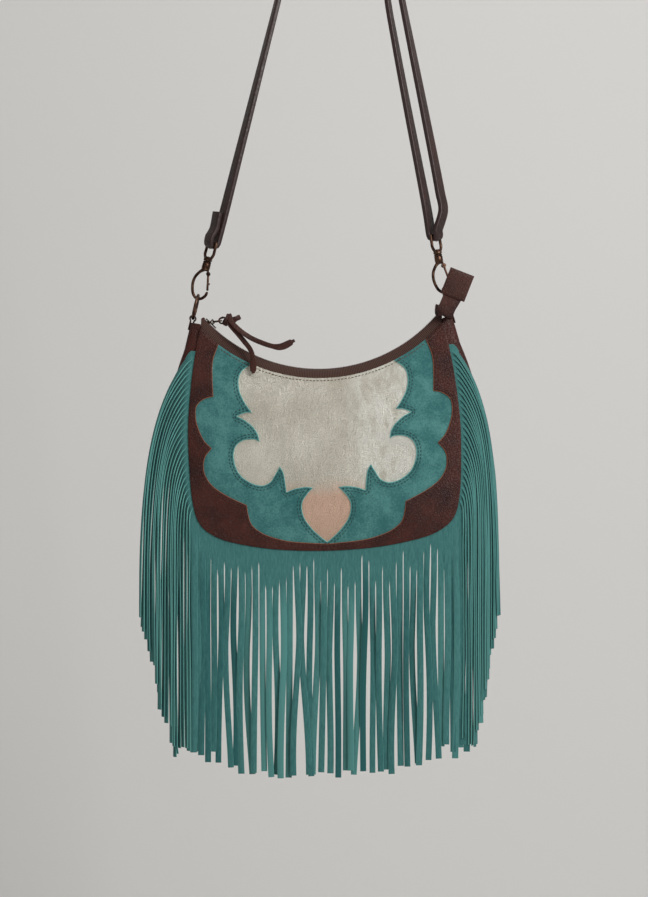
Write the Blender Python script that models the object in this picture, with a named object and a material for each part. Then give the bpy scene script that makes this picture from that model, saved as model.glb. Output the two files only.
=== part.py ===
"""A small crossbody bag: leather body, inlaid front, zipped top and a long fringe, hanging by its strap.

The origin is on top of the peg that the strap hangs on, under the strap's bend.
+Z is up, -Y is the bag's front and +X is to the right of the front. All sizes are in metres.
Places on the bag are given as u, right of its centre line, v, above its bottom seam,
and w, behind the plane of its zip.
"""
import math
import random

import bpy
import bmesh
from mathutils import Matrix, Vector, geometry

# Gaps and mesh steps
SEAT = 0.0003
OUTLINE_STEP = 0.0085
SHEET_GRID = 0.026

# Place of the bag under the peg
BAG_X = -0.0155
BAG_Z = -0.7515
TILT = math.radians(1.5)

# Bag body
LEATHER = 0.0010
INLAY = 0.0010
GUSSET_WALL = 0.0014
LINING_WALL = 0.0006
LINING_FLOOR = 0.006
LINING_INSET = 0.018
LINING_CLEAR = 0.0018
FRONT_EDGE = [(0, 0), (0.050, 0.0025), (0.090, 0.0095), (0.112, 0.0175), (0.126, 0.030), (0.132, 0.050),
              (0.1345, 0.080), (0.135, 0.125), (0.131, 0.168), (0.1265, 0.197), (0.121, 0.224)]
TOP_ARC = 0.1646
TOP_HALF_DEPTH = 0.013
FRONT_BOTTOM_DEPTH = 0.025
BACK_BOTTOM_DEPTH = 0.034
CROWN = 0.008
GUSSET_BULGE = [(0.0, 0.005), (0.35, 0.011), (0.55, 0.018), (0.78, 0.020), (0.92, 0.012), (1.0, 0.0105)]
GUSSET_RISE = 0.004
GUSSET_FLAT = 0.62

# Scalloped cuts of the two inlay windows, right half, from the top edge to the centre line
SUEDE_WINDOW = [
    [(0.103, 0.2072), (0.1088, 0.191), (0.1097, 0.173), (0.1092, 0.1555)],
    [(0.1092, 0.1555), (0.1177, 0.1535), (0.125, 0.148), (0.1272, 0.1405), (0.126, 0.128), (0.120, 0.113),
     (0.112, 0.104)],
    [(0.112, 0.104), (0.1185, 0.096), (0.1204, 0.0865), (0.1185, 0.0765), (0.111, 0.066), (0.0965, 0.056),
     (0.0785, 0.047)],
    [(0.0785, 0.047), (0.0775, 0.0385), (0.074, 0.0275), (0.064, 0.019), (0.049, 0.013), (0.032, 0.0095),
     (0, 0.0068)],
]
METAL_WINDOW = [
    [(0.071, 0.1871), (0.0808, 0.1795), (0.084, 0.170), (0.0827, 0.1585), (0.077, 0.1465), (0.0713, 0.1385)],
    [(0.0713, 0.1385), (0.078, 0.1384), (0.0865, 0.1353)],
    [(0.0865, 0.1353), (0.0785, 0.131), (0.0708, 0.1245), (0.066, 0.117), (0.0645, 0.1095)],
    [(0.0645, 0.1095), (0.070, 0.112), (0.0795, 0.1115), (0.087, 0.107), (0.0903, 0.099), (0.0895, 0.088),
     (0.084, 0.0765), (0.074, 0.069), (0.0635, 0.066), (0.055, 0.069), (0.050, 0.076), (0.045, 0.0845)],
    [(0.045, 0.0845), (0.0415, 0.078), (0.040, 0.0685), (0.039, 0.059)],
    [(0.039, 0.059), (0.0305, 0.062), (0.020, 0.0635), (0.0125, 0.0625)],
    [(0.0125, 0.0625), (0.0185, 0.0565), (0.024, 0.047), (0.0225, 0.034), (0.015, 0.0225), (0.006, 0.0135),
     (0, 0.0087)],
]
METAL_BLANK = [(0, 0.0045), (0.018, 0.014), (0.030, 0.032), (0.042, 0.050), (0.062, 0.058), (0.084, 0.066),
               (0.096, 0.084), (0.097, 0.105), (0.093, 0.135), (0.091, 0.165), (0.089, 0.1971)]
BLANK_INSET = 0.0032

# Fringe
FRINGE_THICK = 0.0011
STRAND_PITCH = 0.0068
SLIT = 0.0006
FRINGE_BAND = 0.010
FRINGE_TOP_GAP = 0.019
STRAND_CUT = [(0.0, 0.222), (0.112, 0.224), (0.150, 0.248), (0.185, 0.298), (0.320, 0.300)]
HANG_CORNER = 0.112
HANG_EASE = 0.025
HANG_PITCH_LEFT = 0.0020
HANG_PITCH_RIGHT = 0.0013
TIP_JITTER = 0.004
STRAND_TURN_LIMIT = math.radians(72)

# Zip
ZIP_RISE = 0.0090
ZIP_ANGLE = math.radians(49.6)
TAPE_CLOSE = math.radians(5)
TEETH_HALF_WIDTH = 0.0030
TEETH_HEIGHT = 0.0024
TEETH_PARTING = 0.0012
TAPE = 0.0008
TAPE_UNDERLAP = 0.006
STOP_LENGTH = 0.003
SLIDER_ANGLE = math.radians(-46)
SLIDER_LENGTH = 0.013
SLIDER_WIDTH = 0.0094
SLIDER_PLATE = 0.0012
LUG_WIDTH = 0.0022
LUG_HOLE = 0.0012
PULL_RING = 0.0046
PULL_WIRE = 0.0007
THONG_WIDTH = 0.0050
THONG_THICK = 0.0016
PULL_LIFT = math.radians(8)
KNOT_PLACE = (0.0085, -0.0065, 0.0005)
KNOT_SIZE = (0.0095, 0.0050, 0.0075)
THONG_TAILS = [
    [(-0.1100, -0.0185, -0.5260), (-0.0990, -0.0205, -0.5360), (-0.0850, -0.0210, -0.5440),
     (-0.0640, -0.0215, -0.5500), (-0.0480, -0.0225, -0.5435)],
    [(-0.1120, -0.0165, -0.5280), (-0.1000, -0.0175, -0.5420), (-0.0905, -0.0185, -0.5560),
     (-0.0890, -0.0190, -0.5760)],
]
ZIP_TAIL_LEAD = 0.0035
ZIP_TAIL = [(0.1208, 0.2394, -0.0028, 40, 0.009), (0.1188, 0.2410, -0.0080, 80, 0.010),
            (0.1176, 0.2422, -0.0145, 90, 0.011), (0.1205, 0.2445, -0.0174, 90, 0.013),
            (0.1240, 0.2469, -0.0174, 90, 0.016), (0.1300, 0.2510, -0.0174, 90, 0.018),
            (0.1402, 0.2708, -0.0174, 90, 0.018)]
END_TAB_LENGTH = 0.027
END_TAB_WIDTH = 0.025
END_TAB_WALL = 0.0014

# Rings and snap hooks
WIRE = 0.0015
HOOK_PLAY = 0.0005
RING_RADIUS = 0.012
RING_TAB_WIDTH = 0.010
RING_TAB_WALL = 0.0016
RING_TAB_LEG = 0.012
RING_TAB_RISE = 0.0045
CHAIN_LEAN = {"left": math.radians(14.8), "right": math.radians(-9.3)}
BOW_TURN = {"left": 0.0, "right": math.radians(12)}
BOW_LENGTH = 0.0295
BOW_PATH = [(-0.0008, 0.0302), (-0.0042, 0.0272), (-0.0078, 0.021), (-0.0086, 0.0135), (-0.0064, 0.0052),
            (-0.0030, 0.0010), (0, 0), (0.0034, 0.0010), (0.0066, 0.0046), (0.0076, 0.0092)]
FERRULE_RADIUS = 0.0042
FERRULE_LENGTH = 0.009
COLLAR_LENGTH = 0.0025
SHANK_RADIUS = 0.0016
HEAD_RADIUS = 0.0030
HEAD_HEIGHT = 0.0018
EYE_BAR = 0.058
GATE_WIRE = 0.0011
GATE_PIN = (0.0040, 0.0266)
GATE_REACH = 0.0008
PIN_RADIUS = 0.0009
EAR = 0.0010

# Strap
STRAP_WIDTH = 0.015
STRAP_THICK = 0.0045
EDGE_CHAMFER = 0.0008
PEG_RADIUS = 0.015
STRAP_TURN = math.radians(30)
FLAP_LENGTH = 0.031
LEG_SPREAD = [(0.0842, -0.4125), (0.0447, -0.202)]
LEG_OUTER = [(0.1002, -0.4125), (0.0590, -0.202), (0.0433, -0.122)]
SPLICE_TOP = -0.098
RIVET_DROP = 0.012
RIVET_HEAD = 0.0034
RIVET_RADIUS = 0.0015
KEEPER_DROP = 0.030
KEEPER_HEIGHT = 0.010
KEEPER_WALL = 0.0014

# Values worked out from those above
CORNER_U, CORNER_V = FRONT_EDGE[-1]
HALF_WIDTH = max(u for u, v in FRONT_EDGE) + 0.0005
ARC_V = CORNER_V + math.sqrt(TOP_ARC ** 2 - CORNER_U ** 2)
TOP_V = ARC_V - TOP_ARC
ZIP_ARC = TOP_ARC - ZIP_RISE
INLAY_DEPTH = LEATHER + SEAT
METAL_DEPTH = INLAY_DEPTH + INLAY + SEAT
TAPE_DEPTH = METAL_DEPTH + INLAY + SEAT
GUSSET_DEPTH = LEATHER + FRINGE_THICK + 2 * SEAT
PLY = STRAP_THICK + SEAT
SPLICE_PLY = PLY + 0.0004
BAR_TO_PLY = WIRE + SEAT + STRAP_THICK / 2


def bag(u, v, w=0.0):
    """A place on the bag, in the world."""
    x = BAG_X + u * math.cos(TILT) - v * math.sin(TILT)
    z = BAG_Z + u * math.sin(TILT) + v * math.cos(TILT)
    return Vector((x, w, z))


def on_arc(radius, angle):
    """The u and v of a point on a circle about the zip's centre, at an angle from straight down."""
    return radius * math.sin(angle), ARC_V - radius * math.cos(angle)


def smooth(points, step):
    """Points about a step apart on a curve through the given points, with both of its ends."""
    knots = [Vector(p) for p in points]
    knots = [2 * knots[0] - knots[1]] + knots + [2 * knots[-1] - knots[-2]]
    out = []
    for a, b, c, d in zip(knots, knots[1:], knots[2:], knots[3:]):
        count = max(1, round((c - b).length / step))
        for k in range(count):
            t = k / count
            bend = (2 * a - 5 * b + 4 * c - d) * t * t + (3 * b - a - 3 * c + d) * t ** 3
            out.append(0.5 * (2 * b + (c - a) * t + bend))
    return out + [knots[-2]]


def mirrored(half):
    """The whole run of points, left to right, from its right half, which starts on the centre line."""
    return [(-u, v) for u, v in reversed(half[1:])] + list(half)


def seam(inset=0.0):
    """The front seam from the left top corner, round the bottom, to the right one, moved inwards."""
    points = smooth(mirrored(FRONT_EDGE), OUTLINE_STEP)
    if not inset:
        return points
    moved = []
    for k, p in enumerate(points):
        along = (points[min(k + 1, len(points) - 1)] - points[max(k - 1, 0)]).normalized()
        moved.append(p + inset * Vector((-along.y, along.x)))
    return moved


def top_edge(right_u, left_u):
    """Points inside the top edge, from one u to another, right to left."""
    start, end = math.asin(right_u / TOP_ARC), math.asin(left_u / TOP_ARC)
    count = max(2, round(abs(start - end) * TOP_ARC / OUTLINE_STEP))
    angles = [start + (end - start) * k / count for k in range(1, count)]
    return [Vector(on_arc(TOP_ARC, a)) for a in angles]


def window(cuts, step):
    """A scalloped cut from the left of the top edge, down, across the centre and up to the right."""
    right = []
    for cut in cuts:
        right += smooth(cut, step)[:-1]
    right.append(Vector(cuts[-1][-1]))
    left = [Vector((-p.x, p.y)) for p in right[:-1]]
    return left + list(reversed(right))


def seam_depth(v, bottom_depth):
    """Distance of a seam from the zip's plane at a height on the bag."""
    return TOP_HALF_DEPTH + (bottom_depth - TOP_HALF_DEPTH) * (1 - v / CORNER_V)


def crown(u, v):
    """How far a filled bag stands out of the plane of its seam."""
    across = max(0.0, 1 - (u / HALF_WIDTH) ** 2)
    t = min(1.0, max(0.0, v / (TOP_V * 1.12)))
    return CROWN * across * 4 * t * (1 - t)


def front_face(u, v):
    """w of the brown leather's outer face at the front."""
    return -seam_depth(v, FRONT_BOTTOM_DEPTH) - crown(u, v)


def back_face(u, v):
    """w of the brown leather's outer face at the back."""
    return seam_depth(v, BACK_BOTTOM_DEPTH) + crown(u, v)


# Mesh tools

def new_object(name, mesh):
    """An object of that mesh in the scene."""
    obj = bpy.data.objects.new(name, mesh)
    bpy.context.scene.collection.objects.link(obj)
    return obj


def mesh_from(bm, name):
    """A mesh from a bmesh, its faces turned outwards."""
    bmesh.ops.recalc_face_normals(bm, faces=bm.faces[:])
    mesh = bpy.data.meshes.new(name)
    bm.to_mesh(mesh)
    bm.free()
    return mesh


def material(name, colour, roughness, metallic=0.0):
    """A surface of one colour."""
    mat = bpy.data.materials.new(name)
    mat.use_nodes = True
    shader = mat.node_tree.nodes["Principled BSDF"]
    shader.inputs["Base Color"].default_value = (*colour, 1.0)
    shader.inputs["Roughness"].default_value = roughness
    shader.inputs["Metallic"].default_value = metallic
    return mat


def piece(name, bm, finish, pivot=None):
    """A named piece with its own material, its origin on its pivot."""
    mesh = mesh_from(bm, name)
    mesh.materials.append(material(name, *finish))
    mesh.shade_smooth()
    mesh.set_sharp_from_angle(angle=math.radians(35))
    obj = new_object(name, mesh)
    if pivot is not None:
        mesh.transform(Matrix.Translation(-pivot))
        obj.location = pivot
    return obj


def boolean(obj, bm, operation):
    """Joins a solid to a piece, or cuts it out of the piece."""
    tool = new_object(obj.name + "_" + operation.lower(), mesh_from(bm, obj.name))
    tool.hide_render = True
    tool.display_type = "WIRE"
    mod = obj.modifiers.new(operation.title(), "BOOLEAN")
    mod.operation = operation
    mod.solver = "EXACT"
    mod.object = tool


def loft(rings, bm=None, loop=False):
    """A closed solid through rings of points, either capped at both ends or closed on itself."""
    bm = bm or bmesh.new()
    verts = [[bm.verts.new(p) for p in ring] for ring in rings]
    pairs = list(zip(verts, verts[1:])) + ([(verts[-1], verts[0])] if loop else [])
    for a, b in pairs:
        for k in range(len(a)):
            n = (k + 1) % len(a)
            bm.faces.new((a[k], a[n], b[n], b[k]))
    if not loop:
        bm.faces.new(reversed(verts[0]))
        bm.faces.new(verts[-1])
    return bm


def tube(points, radius, sides=6, loop=False, bm=None):
    """A round wire along points."""
    points = [Vector(p) for p in points]
    count = len(points)
    rings = []
    side = None
    for k, p in enumerate(points):
        before = points[k - 1] if (k or loop) else p
        after = points[(k + 1) % count] if (k < count - 1 or loop) else p
        along = (after - before).normalized()
        if side is None:
            guide = Vector((0, 1, 0)) if abs(along.y) < 0.7 else Vector((1, 0, 0))
            side = guide - along * guide.dot(along)
        side = (side - along * side.dot(along)).normalized()
        up = along.cross(side)
        angles = [2 * math.pi * n / sides for n in range(sides)]
        rings.append([p + radius * (math.cos(a) * side + math.sin(a) * up) for a in angles])
    return loft(rings, bm, loop)


def turned(profile, frame, sides=14, bm=None):
    """A solid turned about a frame's own z, from radius and height pairs, closed on itself."""
    rings = []
    for n in range(sides):
        a = 2 * math.pi * n / sides
        rings.append([frame @ Vector((r * math.cos(a), r * math.sin(a), h)) for r, h in profile])
    return loft(rings, bm, loop=True)


def rod(radius, low, high, frame, sides=14, bm=None):
    """A solid cylinder along a frame's own z."""
    rings = []
    for h in (low, high):
        angles = [2 * math.pi * n / sides for n in range(sides)]
        rings.append([frame @ Vector((radius * math.cos(a), radius * math.sin(a), h)) for a in angles])
    return loft(rings, bm)


def block(low, high, frame, bm=None):
    """A box between two corners in a frame."""
    rings = []
    for z in (low[2], high[2]):
        flat = ((low[0], low[1]), (high[0], low[1]), (high[0], high[1]), (low[0], high[1]))
        rings.append([frame @ Vector((x, y, z)) for x, y in flat])
    return loft(rings, bm)


def sheet(outline, depth, thickness):
    """A sheet of leather of that outline, whose outer face lies at w = depth(u, v)."""
    inside = []
    low_u, high_u = min(p.x for p in outline), max(p.x for p in outline)
    high_v = max(p.y for p in outline)
    columns = math.ceil(high_u / SHEET_GRID)
    for i in range(-columns, columns + 1):
        for j in range(1, math.ceil(high_v / SHEET_GRID) + 1):
            p = Vector((i * SHEET_GRID, j * SHEET_GRID))
            clear = min((p - q).length for q in outline) > 0.45 * SHEET_GRID
            if low_u < p.x < high_u and clear:
                inside.append(p)
    count = len(outline)
    ring = [(k, (k + 1) % count) for k in range(count)]
    points, _, faces, *_ = geometry.delaunay_2d_cdt(list(outline) + inside, ring, [], 1, 1e-7)
    bm = bmesh.new()
    used = {k for face in faces for k in face}
    way = 1 if thickness > 0 else -1
    outer = {k: bm.verts.new(bag(*points[k], depth(*points[k]))) for k in used}
    inner = {k: bm.verts.new(bag(*points[k], depth(*points[k]) + thickness)) for k in used}
    for face in faces:
        bm.faces.new([outer[k] for k in face][::way])
        bm.faces.new([inner[k] for k in face][::-way])
    seen = {}
    for face in faces:
        for a, b in zip(face, face[1:] + face[:1]):
            seen[frozenset((a, b))] = seen.get(frozenset((a, b)), []) + [(a, b)]
    for sides in seen.values():
        if len(sides) == 1:
            a, b = sides[0]
            bm.faces.new((outer[a], inner[a], inner[b], outer[b])[::way])
    return bm


# Finishes: colour, roughness, metallic
BROWN = ((0.045, 0.017, 0.011), 0.55)
TEAL = ((0.060, 0.200, 0.190), 0.95)
FOIL = ((0.560, 0.520, 0.430), 0.40, 0.6)
CLOTH = ((0.050, 0.030, 0.025), 0.90)
DARK = ((0.020, 0.014, 0.012), 0.45)
METAL = ((0.140, 0.085, 0.060), 0.35, 1.0)


# Bag body

def bag_body():
    """Front panel with its two inlays, back panel, side wall and lining."""
    suede_cut = window(SUEDE_WINDOW, OUTLINE_STEP)
    metal_cut = window(METAL_WINDOW, OUTLINE_STEP)
    suede_u, metal_u = SUEDE_WINDOW[0][0][0], METAL_WINDOW[0][0][0]

    outline = seam() + top_edge(CORNER_U, suede_u) + list(reversed(suede_cut))
    outline += top_edge(-suede_u, -CORNER_U)
    piece("front_panel", sheet(outline, front_face, LEATHER), BROWN)

    blank = [p for p in seam(BLANK_INSET) if (p - Vector((0, ARC_V))).length > TOP_ARC + 0.001]
    edge_u = CORNER_U - BLANK_INSET
    blank = [Vector(on_arc(TOP_ARC, -math.asin(edge_u / TOP_ARC)))] + blank
    blank.append(Vector(on_arc(TOP_ARC, math.asin(edge_u / TOP_ARC))))
    outline = blank + top_edge(edge_u, metal_u) + list(reversed(metal_cut)) + top_edge(-metal_u, -edge_u)
    piece("suede_inlay", sheet(outline, lambda u, v: front_face(u, v) + INLAY_DEPTH, INLAY), TEAL)

    blank = smooth(mirrored(METAL_BLANK), 2 * OUTLINE_STEP)
    outline = blank + top_edge(METAL_BLANK[-1][0], -METAL_BLANK[-1][0])
    piece("metallic_inlay", sheet(outline, lambda u, v: front_face(u, v) + METAL_DEPTH, INLAY), FOIL)

    outline = seam() + top_edge(CORNER_U, -CORNER_U)
    piece("back_panel", sheet(outline, back_face, -LEATHER), BROWN)
    gusset()
    lining()


def profile_value(profile, place):
    """The value at a place, between the pairs of place and value of a profile."""
    for (a, low), (b, high) in zip(profile, profile[1:]):
        if place <= b:
            return low + (high - low) * (place - a) / (b - a)
    return profile[-1][1]


def gusset_stations():
    """Along the side wall: places on the seam, the outward ways and how far the wall stands out."""
    points = seam()[::2]
    first, last = points[0], points[-1]
    points[0] = first + (first - points[1]).normalized() * GUSSET_RISE
    points[-1] = last + (last - points[-2]).normalized() * GUSSET_RISE
    middle = (len(points) - 1) / 2
    out = []
    for k, p in enumerate(points):
        along = (points[min(k + 1, len(points) - 1)] - points[max(k - 1, 0)]).normalized()
        out.append((p, Vector((along.y, -along.x)), profile_value(GUSSET_BULGE, abs(k - middle) / middle)))
    return out


def gusset():
    """The side wall: a channel of leather round the sides and the bottom, open at the zip."""
    stations = [-1, -0.9, -GUSSET_FLAT, GUSSET_FLAT, 0.9, 1]
    rings = []
    for p, out, high in gusset_stations():
        low_w = front_face(*p) + GUSSET_DEPTH
        high_w = back_face(*p) - LEATHER - SEAT
        centre, half = (low_w + high_w) / 2, (high_w - low_w) / 2

        def wall(t, inset):
            place = p + out * (high - inset) * math.sqrt(1 - t ** 6)
            return bag(place.x, place.y, centre + t * (half - inset))

        rings.append([wall(t, 0.0) for t in stations] + [wall(t, GUSSET_WALL) for t in reversed(stations)])
    piece("gusset", loft(rings), BROWN)


def lining():
    """The open pouch inside: rows of points from the bottom up to the zip's edge."""
    columns, rows = 28, 6
    top_radius = TOP_ARC + TAPE_UNDERLAP + LINING_CLEAR

    def row(share, wall):
        ring = []
        for c in range(columns):
            a = 2 * math.pi * c / columns
            across = math.copysign(abs(math.cos(a)) ** 0.6, math.cos(a))
            deep = math.copysign(abs(math.sin(a)) ** 0.5, math.sin(a))
            reach = 0.55 + 0.45 * min(1.0, share * 3) ** 0.5
            u = across * (HALF_WIDTH - LINING_INSET) * reach * (1 - 0.06 * share ** 3) - across * wall
            top = ARC_V - math.sqrt(top_radius ** 2 - u * u)
            v = LINING_FLOOR + wall + share * (top - LINING_FLOOR - wall)
            front = front_face(u, v) + TAPE_DEPTH + wall
            back = back_face(u, v) - LEATHER - 2 * SEAT - wall
            ring.append(bag(u, v, (front + back) / 2 - deep * (back - front) / 2))
        return ring

    rings = [row(k / rows, 0.0) for k in range(rows + 1)]
    rings += [row(k / rows, LINING_WALL) for k in range(rows, -1, -1)]
    piece("lining", loft(rings), CLOTH)


# Fringe

def seam_walk():
    """Evenly spaced strand boundaries along the seam: place, outward way, and length from the middle."""
    fine = smooth(mirrored(FRONT_EDGE), 0.002)
    lengths = [0.0]
    for a, b in zip(fine, fine[1:]):
        lengths.append(lengths[-1] + (b - a).length)
    middle = lengths[-1] / 2
    half_count = int((middle - FRINGE_TOP_GAP) / STRAND_PITCH)
    walk = []
    for j in range(-half_count, half_count + 1):
        want = middle + j * STRAND_PITCH
        k = next(k for k, s in enumerate(lengths) if s >= want)
        share = (want - lengths[k - 1]) / (lengths[k] - lengths[k - 1])
        along = (fine[min(k + 2, len(fine) - 1)] - fine[max(k - 3, 0)]).normalized()
        place = fine[k - 1].lerp(fine[k], share)
        walk.append((place, Vector((along.y, -along.x)), j * STRAND_PITCH))
    return walk


def hang_offset(distance):
    """How far from the bag's centre a strand hangs, by its root's distance along the seam."""
    side = math.copysign(1.0, distance)
    past = abs(distance) - HANG_CORNER
    if past <= 0:
        return distance
    closing = (HANG_PITCH_LEFT if side < 0 else HANG_PITCH_RIGHT) / STRAND_PITCH
    ease = (1 - math.exp(-past / HANG_EASE)) * HANG_EASE * (1 - closing)
    return side * (HANG_CORNER + ease + past * closing)


def fringe():
    """One suede strip, sewn in at the seam and slit into strands that fall straight down."""
    walk = seam_walk()
    rows = (-0.0022, 0.0012, FRINGE_BAND)
    bm = bmesh.new()
    seeded = random.Random(4)

    def corner(place, out, row):
        p = place + out * row
        depth = front_face(place.x, place.y) + LEATHER + SEAT
        return [bm.verts.new(bag(p.x, p.y, depth + d)) for d in (0.0, FRINGE_THICK)]

    band = [[corner(place, out, row) for row in rows] for place, out, _ in walk]
    for i, (left, right) in enumerate(zip(band, band[1:])):
        for k in range(len(rows) - 1):
            for face in (0, 1):
                quad = (left[k][face], right[k][face], right[k + 1][face], left[k + 1][face])
                bm.faces.new(quad)
        bm.faces.new((left[0][0], left[0][1], right[0][1], right[0][0]))
        if i == 0:
            for k in range(len(rows) - 1):
                bm.faces.new((left[k][0], left[k + 1][0], left[k + 1][1], left[k][1]))
        if i == len(band) - 2:
            for k in range(len(rows) - 1):
                bm.faces.new((right[k][0], right[k + 1][0], right[k + 1][1], right[k][1]))

        distance = (walk[i][2] + walk[i + 1][2]) / 2
        side = math.copysign(1.0, distance)
        start = sum((v.co for v in left[-1] + right[-1]), Vector()) / 4
        hang = BAG_X + hang_offset(distance)
        pitch = abs(hang_offset(walk[i + 1][2]) - hang_offset(walk[i][2]))
        turn = min(STRAND_TURN_LIMIT, math.acos(min(1.0, pitch / STRAND_PITCH)))
        cut = profile_value(STRAND_CUT, abs(distance))
        sideways = abs(start.x - hang)
        drop = cut - FRINGE_BAND - 0.6 * sideways + seeded.uniform(-TIP_JITTER, TIP_JITTER)
        ease = 0.005 + 1.15 * sideways
        falls = (0.014, 0.036, 0.075, 0.130, drop) if abs(distance) > HANG_CORNER else (0.020, drop)
        half = (STRAND_PITCH - SLIT) / 2
        ring = [left[-1][0], right[-1][0], right[-1][1], left[-1][1]]
        for fall in falls:
            reach = math.exp(-fall / ease)
            x = hang + (start.x - hang) * reach
            z = start.z - fall
            v = (z - BAG_Z) / math.cos(TILT)
            w = -seam_depth(max(v, 0.0), FRONT_BOTTOM_DEPTH) + LEATHER + SEAT + FRINGE_THICK / 2
            spin = turn * min(1.0, fall / 0.030)
            centre = Vector((x, w, z))
            across = Vector((math.cos(spin), side * math.sin(spin), 0.0))
            if sideways > 0.004 and fall < 0.03:
                slope = (start.x - hang) * reach / ease
                fallen = Vector((slope, 0, 1)).normalized()
                across = Vector((fallen.z, 0, -fallen.x)) * math.cos(spin)
                across += Vector((0, side * math.sin(spin), 0))
            through = Vector((-across.y, across.x, 0)).normalized() * FRINGE_THICK / 2
            through.y = abs(through.y) if spin < 1.0 else through.y
            nxt = [centre - across * half - through, centre + across * half - through,
                   centre + across * half + through, centre - across * half + through]
            nxt = [bm.verts.new(p) for p in nxt]
            for a in range(4):
                b = (a + 1) % 4
                bm.faces.new((ring[a], ring[b], nxt[b], nxt[a]))
            ring = nxt
        bm.faces.new(ring)
    piece("fringe", bm, TEAL)


# Zip

def arc_frame(angle):
    """A frame on the zip's arc: x along the zip to the right, y back, z towards the arc's centre."""
    along = bag(math.cos(angle), math.sin(angle)) - bag(0, 0)
    frame = Matrix.Identity(4)
    frame.col[0].xyz = along
    frame.col[1].xyz = (0, 1, 0)
    frame.col[2].xyz = along.cross(Vector((0, 1, 0)))
    frame.translation = bag(*on_arc(ZIP_ARC, angle))
    return frame


def arc_loft(section, start, end, count):
    """A solid whose section, a list of w and radius for an angle, is carried along the zip's arc."""
    rings = []
    for k in range(count + 1):
        angle = start + (end - start) * k / count
        rings.append([bag(*on_arc(r, angle), w) for w, r in section(angle)])
    return loft(rings)


def zip_tapes():
    """The two tapes, sewn behind the panels' top edges, with their rows of teeth and end stops."""
    sides = (("front", -1, front_face, TAPE_DEPTH), ("back", 1, back_face, LEATHER + SEAT))
    for name, way, face, lead in sides:

        def tape(angle):
            def sewn(radius):
                return face(*on_arc(radius, angle)) - way * lead
            low, edge = TOP_ARC + TAPE_UNDERLAP, TOP_ARC + 0.0012
            near, bend = way * (TEETH_HALF_WIDTH + SEAT), way * (SLIDER_WIDTH / 2 + 0.0008)
            open_share = min(1.0, (ZIP_ANGLE - abs(angle)) / TAPE_CLOSE)

            def closing(w, radius, step):
                narrow = (bend + way * step, ZIP_ARC + step)
                return tuple(n + (s - n) * open_share for n, s in zip(narrow, (w, radius)))

            outer = [(near, ZIP_ARC - TAPE / 2), (bend + way * TAPE / 2, ZIP_ARC - TAPE / 2),
                     closing(sewn(edge), edge - 0.0012, 0.0010), closing(sewn(low), low, 0.0022)]
            inner = [closing(sewn(low) - way * TAPE, low, 0.0022 - 1.4 * TAPE * (1 - open_share)),
                     closing(sewn(edge) - way * TAPE, edge, 0.0010),
                     (bend - way * TAPE / 2, ZIP_ARC + TAPE / 2), (near, ZIP_ARC + TAPE / 2)]
            return outer + inner

        piece("zip_tape_" + name, arc_loft(tape, -ZIP_ANGLE, ZIP_ANGLE, 20), CLOTH)

        def teeth(angle):
            near, far = way * TEETH_PARTING / 2, way * TEETH_HALF_WIDTH
            top, low = ZIP_ARC - TEETH_HEIGHT / 2, ZIP_ARC + TEETH_HEIGHT / 2
            shoulder = way * (TEETH_HALF_WIDTH - 0.0006)
            return [(near, top), (shoulder, top), (far, ZIP_ARC), (shoulder, low), (near, low)]

        reach = ZIP_ANGLE - STOP_LENGTH / ZIP_ARC
        piece("zip_teeth_" + name, arc_loft(teeth, -reach, reach, 20), DARK)
    for name, way in (("left", -1), ("right", 1)):
        frame = arc_frame(way * (ZIP_ANGLE - STOP_LENGTH / 2 / ZIP_ARC + SEAT / ZIP_ARC))
        size = (STOP_LENGTH / 2 - 2 * SEAT, TEETH_HALF_WIDTH - SEAT, TEETH_HEIGHT / 2)
        piece("zip_stop_" + name, block([-s for s in size], size, frame), METAL)


def zip_slider():
    """The slider: two plates joined between the rows of teeth, with a lug for its ring."""
    frame = arc_frame(SLIDER_ANGLE)
    pivot = frame @ Vector((0, 0, lug_height()))
    long, wide = SLIDER_LENGTH / 2, SLIDER_WIDTH / 2
    near = TEETH_HEIGHT / 2 + SEAT
    far = near + SLIDER_PLATE
    obj = piece("zip_slider", block((-long, -wide, near), (long, wide, far), frame), METAL, pivot)
    boolean(obj, block((-long, -wide, -far), (long, wide, -near), frame), "UNION")
    neck = TEETH_PARTING / 2 - SEAT
    post = block((-long + 0.002, -neck, -far + 0.0004), (-long + 0.006, neck, far - 0.0004), frame)
    boolean(obj, post, "UNION")
    lug = LUG_WIDTH / 2
    top = lug_height() + LUG_HOLE + 0.0009
    boolean(obj, block((-0.0022, -lug, near + 0.0004), (0.0022, lug, top), frame), "UNION")
    across = frame @ Matrix.Translation((0, 0, lug_height())) @ Matrix.Rotation(math.pi / 2, 4, "X")
    boolean(obj, rod(LUG_HOLE, -2 * LUG_WIDTH, 2 * LUG_WIDTH, across), "DIFFERENCE")


def lug_height():
    """Height of the slider's lug hole over the zip's arc."""
    return TEETH_HEIGHT / 2 + SEAT + SLIDER_PLATE + LUG_HOLE + 0.0003


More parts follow.
